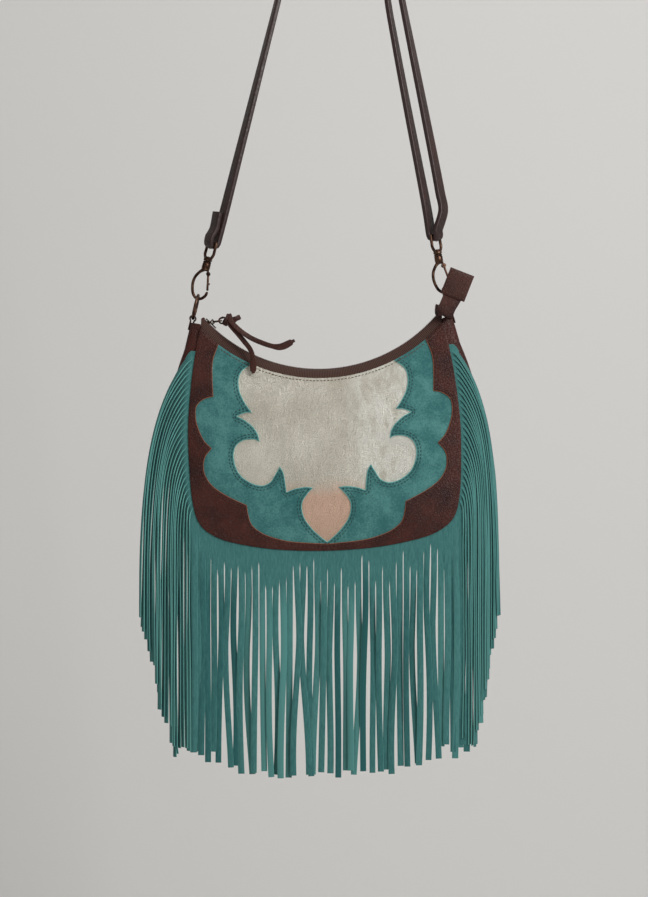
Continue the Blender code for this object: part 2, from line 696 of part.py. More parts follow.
def zip_pull():
    """The small ring in the slider's lug, and the knotted thong that it carries."""
    frame = arc_frame(SLIDER_ANGLE)
    pivot = frame @ Vector((0, 0, lug_height()))
    way = Vector((math.cos(PULL_LIFT), 0, math.sin(PULL_LIFT)))
    centre = pivot + way * PULL_RING
    angles = [2 * math.pi * k / 12 for k in range(12)]
    back = Vector((0, 1, 0))
    ring = [centre + PULL_RING * (math.cos(a) * way + math.sin(a) * back) for a in angles]
    piece("pull_ring", tube(ring, PULL_WIRE, loop=True), METAL, pivot)

    far = centre + way * PULL_RING
    up = back.cross(way) * -1
    inner = PULL_WIRE + 0.0009 + SEAT
    middle = inner + THONG_THICK / 2
    bend = [math.radians(a) for a in range(0, 181, 45)]
    turn = [far + middle * (math.sin(a) * -way + math.cos(a) * up) for a in bend]
    knot = far + Vector(KNOT_PLACE)
    loop = [knot + up * 0.001, turn[0].lerp(knot, 0.3) + up * 0.0012] + turn
    loop += [turn[-1].lerp(knot, 0.3) - up * 0.0012, knot - up * 0.001]
    obj = piece("pull_thong", ribbon(loop, [back] * len(loop), THONG_WIDTH, THONG_THICK), BROWN, pivot)
    boolean(obj, lump(knot, KNOT_SIZE), "UNION")
    for number, tail in enumerate(THONG_TAILS):
        points = [knot + Vector((0, -0.0008, (0.5 - number) * 0.004))]
        points += [Vector(p) for p in tail]
        points = smooth(points, 0.008)
        ways = [(b - a).normalized().cross(back) for a, b in zip(points, points[1:])]
        boolean(obj, ribbon(points, ways + ways[-1:], THONG_WIDTH, THONG_THICK), "UNION")


def ribbon(points, ways, width, thick, chamfer=0.0):
    """A flat strip along points, its width along the given ways."""
    rings = []
    count = len(points)
    widths = width if isinstance(width, list) else [width] * count
    for k, (p, way) in enumerate(zip(points, ways)):
        along = (points[min(k + 1, count - 1)] - points[max(k - 1, 0)]).normalized()
        way = (way - along * way.dot(along)).normalized()
        up = along.cross(way)
        a, b = widths[k] / 2, thick / 2
        flat = [(-a, -b), (a, -b), (a, b), (-a, b)]
        if chamfer:
            c = chamfer
            flat = [(-a, c - b), (c - a, -b), (a - c, -b), (a, c - b)]
            flat += [(-x, -y) for x, y in flat]
        rings.append([p + way * x + up * y for x, y in flat])
    return loft(rings)


def lump(centre, size):
    """A rounded solid of three half sizes."""
    bm = bmesh.new()
    bmesh.ops.create_uvsphere(bm, u_segments=10, v_segments=6, radius=1.0)
    for vert in bm.verts:
        vert.co = centre + Vector((vert.co.x * size[0], vert.co.y * size[1], vert.co.z * size[2]))
    return bm


def zip_end():
    """The zip's tail past its right end, and the leather tab folded over it."""
    frame = arc_frame(ZIP_ANGLE)
    back = Vector((0, 1, 0))
    points = [frame @ Vector((SEAT, 0, 0)), frame @ Vector((ZIP_TAIL_LEAD, 0, 0))]
    points += [bag(u, v, w) for u, v, w, _, _ in ZIP_TAIL]
    along = (points[-1] - points[-2]).normalized()
    side = along.cross(back)
    turns = [0, 0] + [math.radians(turn) for *_, turn, _ in ZIP_TAIL]
    widths = [ZIP_TAIL[0][-1]] * 2 + [width for *_, width in ZIP_TAIL]
    ways = [back * math.cos(turn) + side * math.sin(turn) for turn in turns]
    piece("zip_tail", ribbon(points, ways, widths, TAPE), CLOTH)

    end = points[-1]
    inner = TAPE / 2 + SEAT
    outer = inner + END_TAB_WALL
    begin, finish = END_TAB_WALL + SEAT - END_TAB_LENGTH, END_TAB_WALL + SEAT
    fold = [(begin, outer), (begin, inner), (SEAT, inner), (SEAT, -inner), (begin, -inner), (begin, -outer),
            (finish - 0.001, -outer), (finish, -inner), (finish, inner), (finish - 0.001, outer)]
    rings = []
    for across in (-END_TAB_WIDTH / 2, END_TAB_WIDTH / 2):
        rings.append([end + along * s + back * y + side * across for s, y in fold])
    piece("zip_end_tab", loft(rings), BROWN)


# Rings, tabs and snap hooks

def wall_line(side):
    """The middle of the side wall's top end, and the way up it."""
    way = -1 if side == "left" else 1
    (p, out, high), (q, below_out, below_high) = gusset_stations()[-1], gusset_stations()[-2]
    flat = math.sqrt(1 - GUSSET_FLAT ** 6)
    top = p + out * (high * flat - GUSSET_WALL / 2)
    below = q + below_out * (below_high * flat - GUSSET_WALL / 2)
    up = (top - below).normalized()
    return bag(way * top.x, top.y), (bag(way * up.x, up.y) - bag(0, 0)).normalized()


def hang_point(side):
    """The middle of a hook's lowest wire, where the ring hangs."""
    top, up = wall_line(side)
    return top + up * (RING_TAB_RISE + 2 * RING_RADIUS - 2 * WIRE - HOOK_PLAY)


def ring_and_tab(side):
    """A round ring, and the leather tab that holds it to the side wall's end."""
    point = hang_point(side)
    down = -wall_line(side)[1]
    back = Vector((0, 1, 0))
    top = point - down * (2 * WIRE + HOOK_PLAY)
    centre = top + down * RING_RADIUS
    angles = [2 * math.pi * k / 20 for k in range(20)]
    ring = [centre + RING_RADIUS * (math.cos(a) * down + math.sin(a) * back) for a in angles]
    piece(side + "_ring", tube(ring, WIRE, loop=True), METAL, point)

    seat = centre + down * RING_RADIUS
    across = down.cross(back)
    sag = RING_RADIUS - math.sqrt(RING_RADIUS ** 2 - (RING_TAB_WIDTH / 2) ** 2)
    slope = math.asin(RING_TAB_WIDTH / 2 / RING_RADIUS)
    inner = (WIRE / math.cos(slope) + sag + SEAT) / math.cos(math.radians(10))
    outer = inner + RING_TAB_WALL
    grip = GUSSET_WALL / 2 + SEAT + 0.0002
    arc = [math.radians(a) for a in range(-50, 231, 20)]
    hole = [(inner * math.cos(a), inner * math.sin(a)) for a in arc]
    rim = [(outer * math.cos(a), outer * math.sin(a)) for a in arc]
    low = -RING_TAB_LEG
    far = grip + RING_TAB_WALL
    profile = rim + [(-far, -outer), (-far, low), (-grip, low), (-grip, -outer)]
    profile += list(reversed(hole)) + [(grip, -outer), (grip, low), (far, low), (far, -outer)]
    rings = []
    for depth in (-RING_TAB_WIDTH / 2, RING_TAB_WIDTH / 2):
        rings.append([seat + across * x - down * y + back * depth for x, y in profile])
    piece(side + "_ring_tab", loft(rings), BROWN)


def chain_frame(side, turn):
    """A frame up a hook's swivel axis from its lowest wire: x across its bow, y back, z up."""
    point = hang_point(side)
    lean = Matrix.Rotation(CHAIN_LEAN[side], 4, "Y")
    return Matrix.Translation(point) @ lean @ Matrix.Rotation(turn, 4, "Z")


def snap_hook(side):
    """The hook, which turns on its riveted shank, and its sprung gate."""
    frame = chain_frame(side, BOW_TURN[side])
    point = hang_point(side)
    path = [frame @ Vector((x, 0, z)) for x, z in smooth(BOW_PATH, 0.005)]
    obj = piece(side + "_hook", tube(path, WIRE), METAL, point)
    top = BOW_LENGTH + FERRULE_LENGTH
    head = top + COLLAR_LENGTH + 2 * SEAT
    body = [(0, BOW_LENGTH - 0.0006), (FERRULE_RADIUS * 0.8, BOW_LENGTH - 0.0006),
            (FERRULE_RADIUS, BOW_LENGTH + 0.001), (FERRULE_RADIUS, top - 0.001), (FERRULE_RADIUS * 0.8, top),
            (SHANK_RADIUS, top), (SHANK_RADIUS, head), (HEAD_RADIUS, head),
            (HEAD_RADIUS, head + 0.7 * HEAD_HEIGHT), (HEAD_RADIUS * 0.6, head + HEAD_HEIGHT),
            (0, head + HEAD_HEIGHT)]
    boolean(obj, spindle(body, frame), "UNION")
    gap = GATE_WIRE + SEAT
    for way in (-1, 1):
        near, far = sorted((way * gap, way * (gap + EAR)))
        low = (GATE_PIN[0] - 0.0022, near, GATE_PIN[1] - 0.0022)
        high = (GATE_PIN[0] + 0.0018, far, BOW_LENGTH + 0.001)
        boolean(obj, block(low, high, frame), "UNION")
    pin = frame @ Matrix.Translation((GATE_PIN[0], 0, GATE_PIN[1])) @ Matrix.Rotation(math.pi / 2, 4, "X")
    boolean(obj, rod(PIN_RADIUS + SEAT, -0.006, 0.006, pin, 10), "DIFFERENCE")

    nose = Vector((BOW_PATH[-1][0], 0, BOW_PATH[-1][1]))
    hinge = Vector((GATE_PIN[0], 0, GATE_PIN[1]))
    tip = nose + (hinge - nose).normalized() * (SEAT + GATE_REACH)
    wire = tube([frame @ (hinge + Vector((0, 0, 0.0004))), frame @ tip], GATE_WIRE)
    gate = piece(side + "_gate", wire, METAL, frame @ hinge)
    boolean(gate, rod(PIN_RADIUS, -gap - EAR, gap + EAR, pin, 10), "UNION")


def spindle(profile, frame, sides=14):
    """A solid of revolution about a frame's z, whose profile starts and ends on the axis."""
    bm = bmesh.new()
    rings = []
    for r, h in profile:
        if r == 0:
            rings.append([bm.verts.new(frame @ Vector((0, 0, h)))])
            continue
        angles = [2 * math.pi * n / sides for n in range(sides)]
        rings.append([bm.verts.new(frame @ Vector((r * math.cos(a), r * math.sin(a), h))) for a in angles])
    for a, b in zip(rings, rings[1:]):
        for k in range(sides):
            n = (k + 1) % sides
            corners = [a[k % len(a)], a[n % len(a)], b[n % len(b)], b[k % len(b)]]
            bm.faces.new(list(dict.fromkeys(corners)))
    return bm


def strap_turn(side):
    """How far the strap's width is turned from the depth axis at a hook."""
    return STRAP_TURN if side == "left" else -STRAP_TURN


def swivel_eye(side):
    """The eye that the strap is folded round, with the collar that the hook's shank turns in."""
    frame = chain_frame(side, math.pi / 2 + strap_turn(side))
    low = BOW_LENGTH + FERRULE_LENGTH + SEAT
    high = low + COLLAR_LENGTH
    bore = SHANK_RADIUS + SEAT
    ring = [(bore, low), (FERRULE_RADIUS, low), (FERRULE_RADIUS, high), (bore, high)]
    obj = piece(side + "_swivel_eye", turned(ring, frame), METAL)
    half = STRAP_WIDTH / 2 + WIRE + 2 * SEAT
    right = [(FERRULE_RADIUS - 0.0002, (low + high) / 2), (0.0066, high + 0.0008),
             (half, high + 0.0045), (half, EYE_BAR - 0.002), (half - 0.002, EYE_BAR)]
    path = [(-x, z) for x, z in right] + list(reversed(right))
    boolean(obj, tube([frame @ Vector((x, 0, z)) for x, z in path], WIRE), "UNION")


# Strap

def strap_axes(side):
    """At a hook: the eye's bar, the way up the strap, its width and the way across its plies."""
    frame = chain_frame(side, math.pi / 2 + strap_turn(side))
    bar = frame @ Vector((0, 0, EYE_BAR))
    turn = frame.to_3x3()
    return bar, turn @ Vector((0, 0, 1)), turn @ Vector((1, 0, 0)), turn @ Vector((0, 1, 0))


def strap_route():
    """The strap's middle line from the flap at the left hook to the splice, with its width's ways."""
    bar, up, wide, across = strap_axes("left")
    sign = -1 if across.x < 0 else 1
    across = across * sign
    route = []
    for height, offset in ((FLAP_LENGTH, -BAR_TO_PLY + PLY * 0.72), (0.014, -BAR_TO_PLY + PLY * 0.70),
                           (0.006, -BAR_TO_PLY + PLY * 0.18)):
        route.append((bar + up * height + across * offset, wide))
    for a in range(180, 361, 36):
        swing = math.radians(a)
        route.append((bar + BAR_TO_PLY * (math.cos(swing) * across + math.sin(swing) * up), wide))
    left_low = bar + across * BAR_TO_PLY + up * 0.03
    route.append((left_low, wide))

    bend = PEG_RADIUS + STRAP_THICK / 2
    centre = Vector((0, 0, -PEG_RADIUS))
    back = Vector((0, math.copysign(1, wide.y), 0))
    lean_left = math.atan2(-left_low.x - bend, centre.z - left_low.z)
    tangent = centre + bend * Vector((-math.cos(lean_left), 0, math.sin(lean_left)))
    for k in range(1, 16):
        share = k / 16
        route.append((left_low.lerp(tangent, share), wide.lerp(back, share).normalized()))
    outer = [Vector((x, 0, z)) for x, z in LEG_OUTER]
    lean_right = math.atan2(outer[-1].x - bend, centre.z - outer[-1].z)
    steps = 10
    for k in range(steps + 1):
        a = math.pi - lean_left + (lean_right - math.pi + lean_left) * k / steps
        route.append((centre + bend * Vector((math.cos(a), 0, math.sin(a))), back))

    bar, up, wide, across = strap_axes("right")
    across = across * (1 if across.x > 0 else -1)
    wide = wide * math.copysign(1, wide.y * back.y)
    start = route[-1][0]
    down = smooth([start] + outer[::-1] + [bar + across * BAR_TO_PLY + up * 0.004], 0.028)[1:]
    for k, p in enumerate(down):
        share = min(1.0, (k + 1) / (len(down) - 2))
        route.append((p, back.lerp(wide, share).normalized()))
    for a in range(0, -181, -36):
        swing = math.radians(a)
        route.append((bar + BAR_TO_PLY * (math.cos(swing) * across + math.sin(swing) * up), wide))

    splice = []
    for z in (SPLICE_TOP - 0.046, SPLICE_TOP - 0.023, SPLICE_TOP):
        p, q = nearest(down, z)
        along = (q - p).normalized()
        share = (z - p.z) / (q.z - p.z)
        turned_wide = back.lerp(wide, min(1.0, splice_share(down, z))).normalized()
        out = along.cross(turned_wide).normalized()
        out = out * (1 if out.x > 0 else -1)
        splice.append((p.lerp(q, share) - out * SPLICE_PLY, turned_wide))
    inner = [bar - across * BAR_TO_PLY + up * 0.004] + [Vector((x, 0, z)) for x, z in LEG_SPREAD]
    inner = smooth(inner + [splice[0][0]], 0.028)
    first, last = wide, splice[0][1]
    for k, p in enumerate(inner[:-1]):
        route.append((p, first.lerp(last, k / (len(inner) - 1)).normalized()))
    route += splice
    return route, splice


def nearest(points, z):
    """The two neighbours on a falling line that a height lies between."""
    for a, b in zip(points, points[1:]):
        if b.z <= z <= a.z:
            return a, b
    return points[0], points[1]


def splice_share(points, z):
    """The share of the right leg's turn that the strap has made at a height."""
    k = next(k for k, (a, b) in enumerate(zip(points, points[1:])) if b.z <= z <= a.z)
    return (k + 1.5) / (len(points) - 2)


def strap():
    """One flat strap, folded round the left eye, over the peg, and doubled round the right eye."""
    route, splice = strap_route()
    points = [p for p, _ in route]
    ways = [w for _, w in route]
    obj = piece("strap", ribbon(points, ways, STRAP_WIDTH, STRAP_THICK, EDGE_CHAMFER), BROWN)

    top, wide = splice[-1]
    along = (splice[-1][0] - splice[-2][0]).normalized()
    out = along.cross(wide).normalized()
    out = out * (1 if out.x > 0 else -1)
    frame = Matrix.Identity(4)
    frame.col[0].xyz = wide
    frame.col[1].xyz = along
    frame.col[2].xyz = wide.cross(along)
    side = math.copysign(1, frame.col[2].xyz.dot(out))
    middle = top - along * RIVET_DROP + out * SPLICE_PLY / 2
    rivet = frame.copy()
    rivet.translation = middle
    reach = PLY + 0.0012
    boolean(obj, rod(RIVET_RADIUS + SEAT, -0.012, 0.012, rivet, 12), "DIFFERENCE")
    body = [(0, -reach - 0.0012), (RIVET_HEAD * 0.7, -reach - 0.0012), (RIVET_HEAD, -reach - 0.0004),
            (RIVET_HEAD, -reach), (RIVET_RADIUS, -reach), (RIVET_RADIUS, reach), (RIVET_HEAD, reach),
            (RIVET_HEAD, reach + 0.0004), (RIVET_HEAD * 0.7, reach + 0.0012), (0, reach + 0.0012)]
    piece("strap_rivet", spindle(body, rivet), METAL)

    frame.translation = top - along * KEEPER_DROP + out * SPLICE_PLY / 2
    half_w = STRAP_WIDTH / 2 + 2 * SEAT
    half_d = PLY + 0.0009
    high = KEEPER_HEIGHT / 2
    rings = []
    for w, d, h in ((half_w, half_d, -high), (half_w + KEEPER_WALL, half_d + KEEPER_WALL, -high),
                    (half_w + KEEPER_WALL, half_d + KEEPER_WALL, high), (half_w, half_d, high)):
        flat = ((-w, -d), (w, -d), (w, d), (-w, d))
        rings.append([frame @ Vector((x, h, z * side)) for x, z in flat])
    piece("strap_keeper", loft(rings, loop=True), BROWN)


for old in list(bpy.data.objects):
    bpy.data.objects.remove(old)

bag_body()
fringe()
zip_tapes()
zip_slider()
zip_pull()
zip_end()
for hand in ("left", "right"):
    ring_and_tab(hand)
    snap_hook(hand)
    swivel_eye(hand)
strap()
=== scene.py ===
"""The look of the fringed crossbody bag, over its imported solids, as it hangs in the photograph.

+Z is up, -Y is the front and the origin is on top of the peg that the strap hangs on. All sizes are in
metres. Places on the bag are u, right of its centre line, v, above its bottom seam, and w, behind the zip.
"""
import math
import random
import bpy
import bmesh
from mathutils import Matrix, Vector, geometry, kdtree, noise


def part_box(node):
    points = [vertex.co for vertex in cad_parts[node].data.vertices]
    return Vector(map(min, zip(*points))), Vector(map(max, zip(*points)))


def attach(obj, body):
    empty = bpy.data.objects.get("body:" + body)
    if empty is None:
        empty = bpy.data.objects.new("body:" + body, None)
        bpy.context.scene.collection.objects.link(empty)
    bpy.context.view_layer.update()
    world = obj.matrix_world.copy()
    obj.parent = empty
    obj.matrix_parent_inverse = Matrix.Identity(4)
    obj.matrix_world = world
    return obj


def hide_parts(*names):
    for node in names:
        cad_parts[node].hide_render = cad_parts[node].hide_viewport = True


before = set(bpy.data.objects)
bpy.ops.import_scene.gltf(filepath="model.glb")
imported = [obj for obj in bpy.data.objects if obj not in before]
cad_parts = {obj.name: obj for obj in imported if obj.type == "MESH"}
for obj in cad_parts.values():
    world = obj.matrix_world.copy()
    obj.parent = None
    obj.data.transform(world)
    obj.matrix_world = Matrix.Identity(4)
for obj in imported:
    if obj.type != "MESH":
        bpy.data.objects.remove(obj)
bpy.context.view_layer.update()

# Strap
# One flat strap of two glued plies with painted edges: folded round the left eye, over the peg and
# doubled round the right eye. Its middle line is in millimetres, each place with the way of its width.
STRAP_WIDTH = 0.015
STRAP_THICK = 0.0045
STRAP_STITCH_LINE = 0.0052
STRAP_LINE = [
    (-125.3, -1.5, -414.0, -0.48, 0.87, 0.13), (-128.6, -0.9, -430.7, -0.48, 0.87, 0.13),
    (-132.7, -2.1, -437.9, -0.48, 0.87, 0.13), (-134.0, -2.0, -443.8, -0.48, 0.87, 0.13),
    (-133.9, -1.6, -446.2, -0.48, 0.87, 0.13), (-132.6, -0.6, -448.1, -0.48, 0.87, 0.13),
    (-130.5, 0.6, -448.7, -0.48, 0.87, 0.13), (-128.5, 1.6, -447.7, -0.48, 0.87, 0.13),
    (-127.2, 2.0, -445.5, -0.48, 0.87, 0.13), (-119.5, 2.0, -416.5, -0.48, 0.87, 0.13),
    (-106.7, 1.8, -365.8, -0.43, 0.90, 0.11), (-93.8, 1.5, -315.1, -0.37, 0.92, 0.10),
    (-81.0, 1.3, -264.4, -0.31, 0.95, 0.08), (-68.1, 1.0, -213.6, -0.25, 0.97, 0.07),
    (-55.3, 0.8, -162.9, -0.19, 0.98, 0.05), (-42.4, 0.5, -112.2, -0.12, 0.99, 0.03),
    (-29.6, 0.3, -61.5, -0.06, 1.00, 0.02), (-16.7, 0.0, -10.7, 0.00, 1.00, 0.00),
    (-15.0, 0.0, -6.5, 0.00, 1.00, 0.00), (-12.3, 0.0, -2.9, 0.00, 1.00, 0.00),
    (-8.7, 0.0, -0.1, 0.00, 1.00, 0.00), (-4.4, 0.0, 1.7, 0.00, 1.00, 0.00),
    (0.1, 0.0, 2.2, 0.00, 1.00, 0.00), (4.6, 0.0, 1.6, 0.00, 1.00, 0.00),
    (8.8, 0.0, -0.2, 0.00, 1.00, 0.00), (12.4, 0.0, -3.0, 0.00, 1.00, 0.00),
    (15.1, 0.0, -6.7, 0.00, 1.00, 0.00), (16.8, 0.0, -10.9, 0.00, 1.00, 0.00),
    (23.6, 0.0, -39.4, 0.04, 1.00, 0.01), (30.7, 0.0, -68.4, 0.07, 1.00, 0.01),
    (37.4, 0.0, -96.4, 0.11, 0.99, 0.02), (43.3, 0.0, -122.0, 0.14, 0.99, 0.02),
    (48.4, 0.0, -146.1, 0.18, 0.98, 0.03), (52.3, 0.0, -166.8, 0.22, 0.98, 0.04),
    (59.0, 0.0, -202.0, 0.26, 0.97, 0.04), (68.6, 0.0, -249.9, 0.33, 0.94, 0.05),
    (80.9, 0.1, -311.0, 0.40, 0.92, 0.06), (92.6, 0.1, -370.2, 0.46, 0.88, 0.08),
    (97.1, 0.1, -394.4, 0.49, 0.87, 0.08), (100.2, 0.0, -412.5, 0.49, 0.87, 0.08),
    (94.6, -2.0, -432.5, 0.49, 0.87, 0.08), (95.2, -2.0, -436.5, 0.49, 0.87, 0.08),
    (94.9, -1.6, -438.9, 0.49, 0.87, 0.08), (93.4, -0.6, -440.7, 0.49, 0.87, 0.08),
    (91.3, 0.6, -441.0, 0.49, 0.87, 0.08), (89.3, 1.6, -439.8, 0.49, 0.87, 0.08),
    (88.3, 2.0, -437.6, 0.49, 0.87, 0.08), (87.6, 2.0, -433.7, 0.49, 0.87, 0.08),
    (84.2, 0.0, -412.5, 0.47, 0.88, 0.08), (76.0, -0.2, -369.6, 0.41, 0.91, 0.07),
    (64.3, -0.2, -309.5, 0.35, 0.94, 0.06), (52.8, -0.1, -248.3, 0.29, 0.96, 0.05),
    (44.7, 0.0, -202.0, 0.23, 0.97, 0.04), (41.5, 0.4, -163.9, 0.19, 0.98, 0.03),
    (42.9, 0.9, -145.1, 0.16, 0.99, 0.03), (38.0, 0.7, -122.2, 0.13, 0.99, 0.02),
    (32.8, 0.7, -99.2, 0.13, 0.99, 0.02),
]


def painted_shade_of(colour):
    """A colour darkened as painted shade, for creases and between fibres."""
    return tuple(c * 0.55 for c in colour[:3]) + (1,)


def srgb(r, g, b):
    """A colour read off the photograph, 0 to 255, as linear values for a shader."""
    return tuple((c / 255) ** 2.2 for c in (r, g, b)) + (1.0,)


class Sock:
    """An output of a shader node. Arithmetic on it adds Math nodes, and node() adds any other."""

    def __init__(self, tree, out):
        self.tree, self.out = tree, out

    def feed(self, socket, value):
        """Sets a socket to a number or colour, or links an output to it."""
        if isinstance(value, Sock):
            self.tree.links.new(value.out, socket)
        else:
            socket.default_value = value

    def node(self, kind, out, inputs, **settings):
        """Adds a node. Its inputs and the output that it gives are by name or number."""
        made = self.tree.nodes.new(kind)
        for key, value in settings.items():
            setattr(made, key, value)
        for key, value in inputs.items():
            self.feed(made.inputs[key], value)
        return Sock(self.tree, made.outputs[out])

    def math(self, operation, a, b):
        return self.node("ShaderNodeMath", 0, {0: a, 1: b}, operation=operation)

    def __add__(self, other):
        return self.math("ADD", self, other)

    def __sub__(self, other):
        return self.math("SUBTRACT", self, other)

    def __rsub__(self, other):
        return self.math("SUBTRACT", other, self)

    def __mul__(self, other):
        return self.math("MULTIPLY", self, other)

    __radd__ = __add__
    __rmul__ = __mul__


class Surface:
    """A material that is built from its object coordinates, in metres, and from its mesh's attributes."""

    def __init__(self, name, **constants):
        self.material = bpy.data.materials.new(name)
        self.material.use_nodes = True
        self.tree = self.material.node_tree
        self.shader = self.tree.nodes["Principled BSDF"]
        self.place = Sock(self.tree, self.tree.nodes.new("ShaderNodeTexCoord").outputs["Object"])
        for key, value in constants.items():
            self.shader.inputs[key.replace("_", " ")].default_value = value

    def attribute(self, name):
        return self.place.node("ShaderNodeAttribute", "Fac", {}, attribute_name=name)

    def noise(self, scale, detail=3.0, rough=0.55, where=None):
        inputs = {"Vector": where or self.place, "Scale": scale, "Detail": detail, "Roughness": rough}
        return self.place.node("ShaderNodeTexNoise", "Fac", inputs)

    def cells(self, scale, feature="F1", out="Distance", where=None):
        inputs = {"Vector": where or self.place, "Scale": scale}
        return self.place.node("ShaderNodeTexVoronoi", out, inputs, feature=feature)

    def stretched(self, scale):
        """The object coordinates scaled along each axis."""
        return self.place.node("ShaderNodeMapping", 0, {"Vector": self.place, "Scale": scale})

    def warped(self, amount, scale):
        """The object coordinates pushed about by noise."""
        inputs = {"Vector": self.place, "Scale": scale, "Detail": 2.0}
        push = self.place.node("ShaderNodeTexNoise", "Color", inputs)
        moved = self.place.node("ShaderNodeVectorMath", 0, {0: push, 1: (amount, amount, amount)},
                                operation="MULTIPLY")
        return self.place.node("ShaderNodeVectorMath", 0, {0: self.place, 1: moved}, operation="ADD")

    def step(self, value, low, high):
        """0 below low and 1 above high, smooth between."""
        inputs = {"Value": value, "From Min": low, "From Max": high}
        return self.place.node("ShaderNodeMapRange", 0, inputs, interpolation_type="SMOOTHSTEP")

    def mix(self, share, a, b):
        return self.place.node("ShaderNodeMix", 2, {0: share, 6: a, 7: b}, data_type="RGBA")

    def finish(self, colour, roughness=None, height=None, depth=0.0003, **more):
        """Links the colour, the roughness and a bump of that depth to the shader."""
        self.place.feed(self.shader.inputs["Base Color"], colour)
        if roughness is not None:
            self.place.feed(self.shader.inputs["Roughness"], roughness)
        for key, value in more.items():
            self.place.feed(self.shader.inputs[key.replace("_", " ")], value)
        if height is not None:
            normal = self.place.node("ShaderNodeBump", "Normal", {"Height": height, "Distance": depth})
            self.place.feed(self.shader.inputs["Normal"], normal)
        return self.material


def leather(name, dark, light, grain=1000, raw=None, rub=None, rough=0.46, depth=0.00035):
    """Pebbled leather with painted shade in its creases. raw is the colour of its cut edge, and rub a
    lighter colour where it is rubbed.
    """
    s = Surface(name, Specular_IOR_Level=0.35)
    pebbles = s.cells(grain, "SMOOTH_F1", where=s.warped(0.002, 260))
    creases = s.cells(grain * 0.32, "DISTANCE_TO_EDGE", where=s.warped(0.004, 120))
    patches = s.noise(38, 4.0)
    fine = s.noise(2600, 2.0)
    colour = s.mix(s.step(patches + pebbles * 0.35, 0.38, 0.82), dark, light)
    # Painted shade: the crease lines are darkened toward a deeper colour.
    colour = s.mix(s.step(creases, 0.0, 0.06) * 0.35 + 0.65, painted_shade_of(dark), colour)
    if rub:
        colour = s.mix(s.step(s.noise(130, 5.0) + s.noise(900, 2.0) * 0.4, 0.78, 0.98) * 0.55, colour, rub)
    if raw:
        cut = s.step(s.attribute("edge") + s.noise(900, 2.0) * 0.0003, 0.0004, 0.0009)
        colour = s.mix(cut, raw, colour)
    height = (1.0 - pebbles) + s.step(creases, 0.0, 0.08) * 0.7 + fine * 0.15
    return s.finish(colour, patches * 0.16 + pebbles * 0.12 + rough - 0.12, height, depth)


def loft(rings, loop=False):
    """Vertices and faces through rings of points, either capped at both ends or closed on itself."""
    size = len(rings[0])
    verts = [p for ring in rings for p in ring]
    count = len(rings)
    faces = []
    for r in range(count if loop else count - 1):
        a, b = r * size, (r + 1) % count * size
        faces += [(a + k, a + (k + 1) % size, b + (k + 1) % size, b + k) for k in range(size)]
    if not loop:
        faces += [tuple(reversed(range(size))), tuple(range((count - 1) * size, count * size))]
    return verts, faces


def join(*parts):
    """The vertices and faces of several parts as one."""
    verts, faces = [], []
    for more_verts, more_faces in parts:
        faces += [tuple(k + len(verts) for k in face) for face in more_faces]
        verts += list(more_verts)
    return verts, faces


def placed(name, mesh, body, nodes):
    """A piece of a mesh, which rides on a body and stands for some CAD nodes."""
    obj = bpy.data.objects.new(name, mesh)
    bpy.context.scene.collection.objects.link(obj)
    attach(obj, body)
    if nodes:
        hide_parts(*nodes)
    return obj


def make(name, part, material, body, nodes=(), sharp=40, **attributes):
    """A piece from vertices and faces, sharp where they meet at more than an angle."""
    mesh = bpy.data.meshes.new(name)
    mesh.from_pydata([tuple(v) for v in part[0]], [], part[1])
    work = bmesh.new()
    work.from_mesh(mesh)
    bmesh.ops.recalc_face_normals(work, faces=work.faces[:])
    work.to_mesh(mesh)
    work.free()
    for key, values in attributes.items():
        mesh.attributes.new(key, "FLOAT", "POINT").data.foreach_set("value", values)
    mesh.materials.append(material)
    mesh.shade_smooth()
    mesh.set_sharp_from_angle(angle=math.radians(sharp))
    return placed(name, mesh, body, nodes)


def smooth(points, step):
    """Points about a step apart on a curve through the given ones, which may carry more than a place."""
    knots = [Vector(p) for p in points]
    knots = [2 * knots[0] - knots[1]] + knots + [2 * knots[-1] - knots[-2]]
    out = []
    for a, b, c, d in zip(knots, knots[1:], knots[2:], knots[3:]):
        count = max(1, round((c - b).length / step))
        for k in range(count):
            t = k / count
            bend = (2 * a - 5 * b + 4 * c - d) * t * t + (3 * b - a - 3 * c + d) * t ** 3
            out.append(0.5 * (2 * b + (c - a) * t + bend))
    return out + [knots[-2]]


def around(count):
    """Angles evenly round a circle."""
    return [2 * math.pi * n / count for n in range(count)]


def left_of(along):
    """The way to the left of another in a plane."""
    return Vector((-along.y, along.x))


def direction(points, k):
    """The way that a run of points takes at one of them."""
    return (points[min(k + 1, len(points) - 1)] - points[max(k - 1, 0)]).normalized()


def square_to(way, along):
    """A way turned square to another."""
    return (way - along * way.dot(along)).normalized()


def tree_of(points):
    """A search tree of places in a plane."""
    tree = kdtree.KDTree(len(points))
    for k, p in enumerate(points):
        tree.insert((p.x, p.y, 0), k)
    tree.balance()
    return tree


def rounded(width, thick, corner, arc=3):
    """The outline of a flat strip's section with rounded corners: across and through."""
    out = []
    for quarter, (x, y) in enumerate(((1, 1), (-1, 1), (-1, -1), (1, -1))):
        centre = (x * (width / 2 - corner), y * (thick / 2 - corner))
        for k in range(arc + 1):
            a = math.radians(90 * (quarter + k / arc))
            out.append((centre[0] + corner * math.cos(a), centre[1] + corner * math.sin(a)))
    return out


def strip(points, ways, section):
    """A strip whose section is carried along points, its width along the given ways."""
    rings = []
    last = len(points) - 1
    for k, (p, way) in enumerate(zip(points, ways)):
        along = direction(points, k)
        way = square_to(way, along)
        up = along.cross(way)
        shape = section(k / last) if callable(section) else section
        rings.append([p + way * x + up * y for x, y in shape])
    return loft(rings)


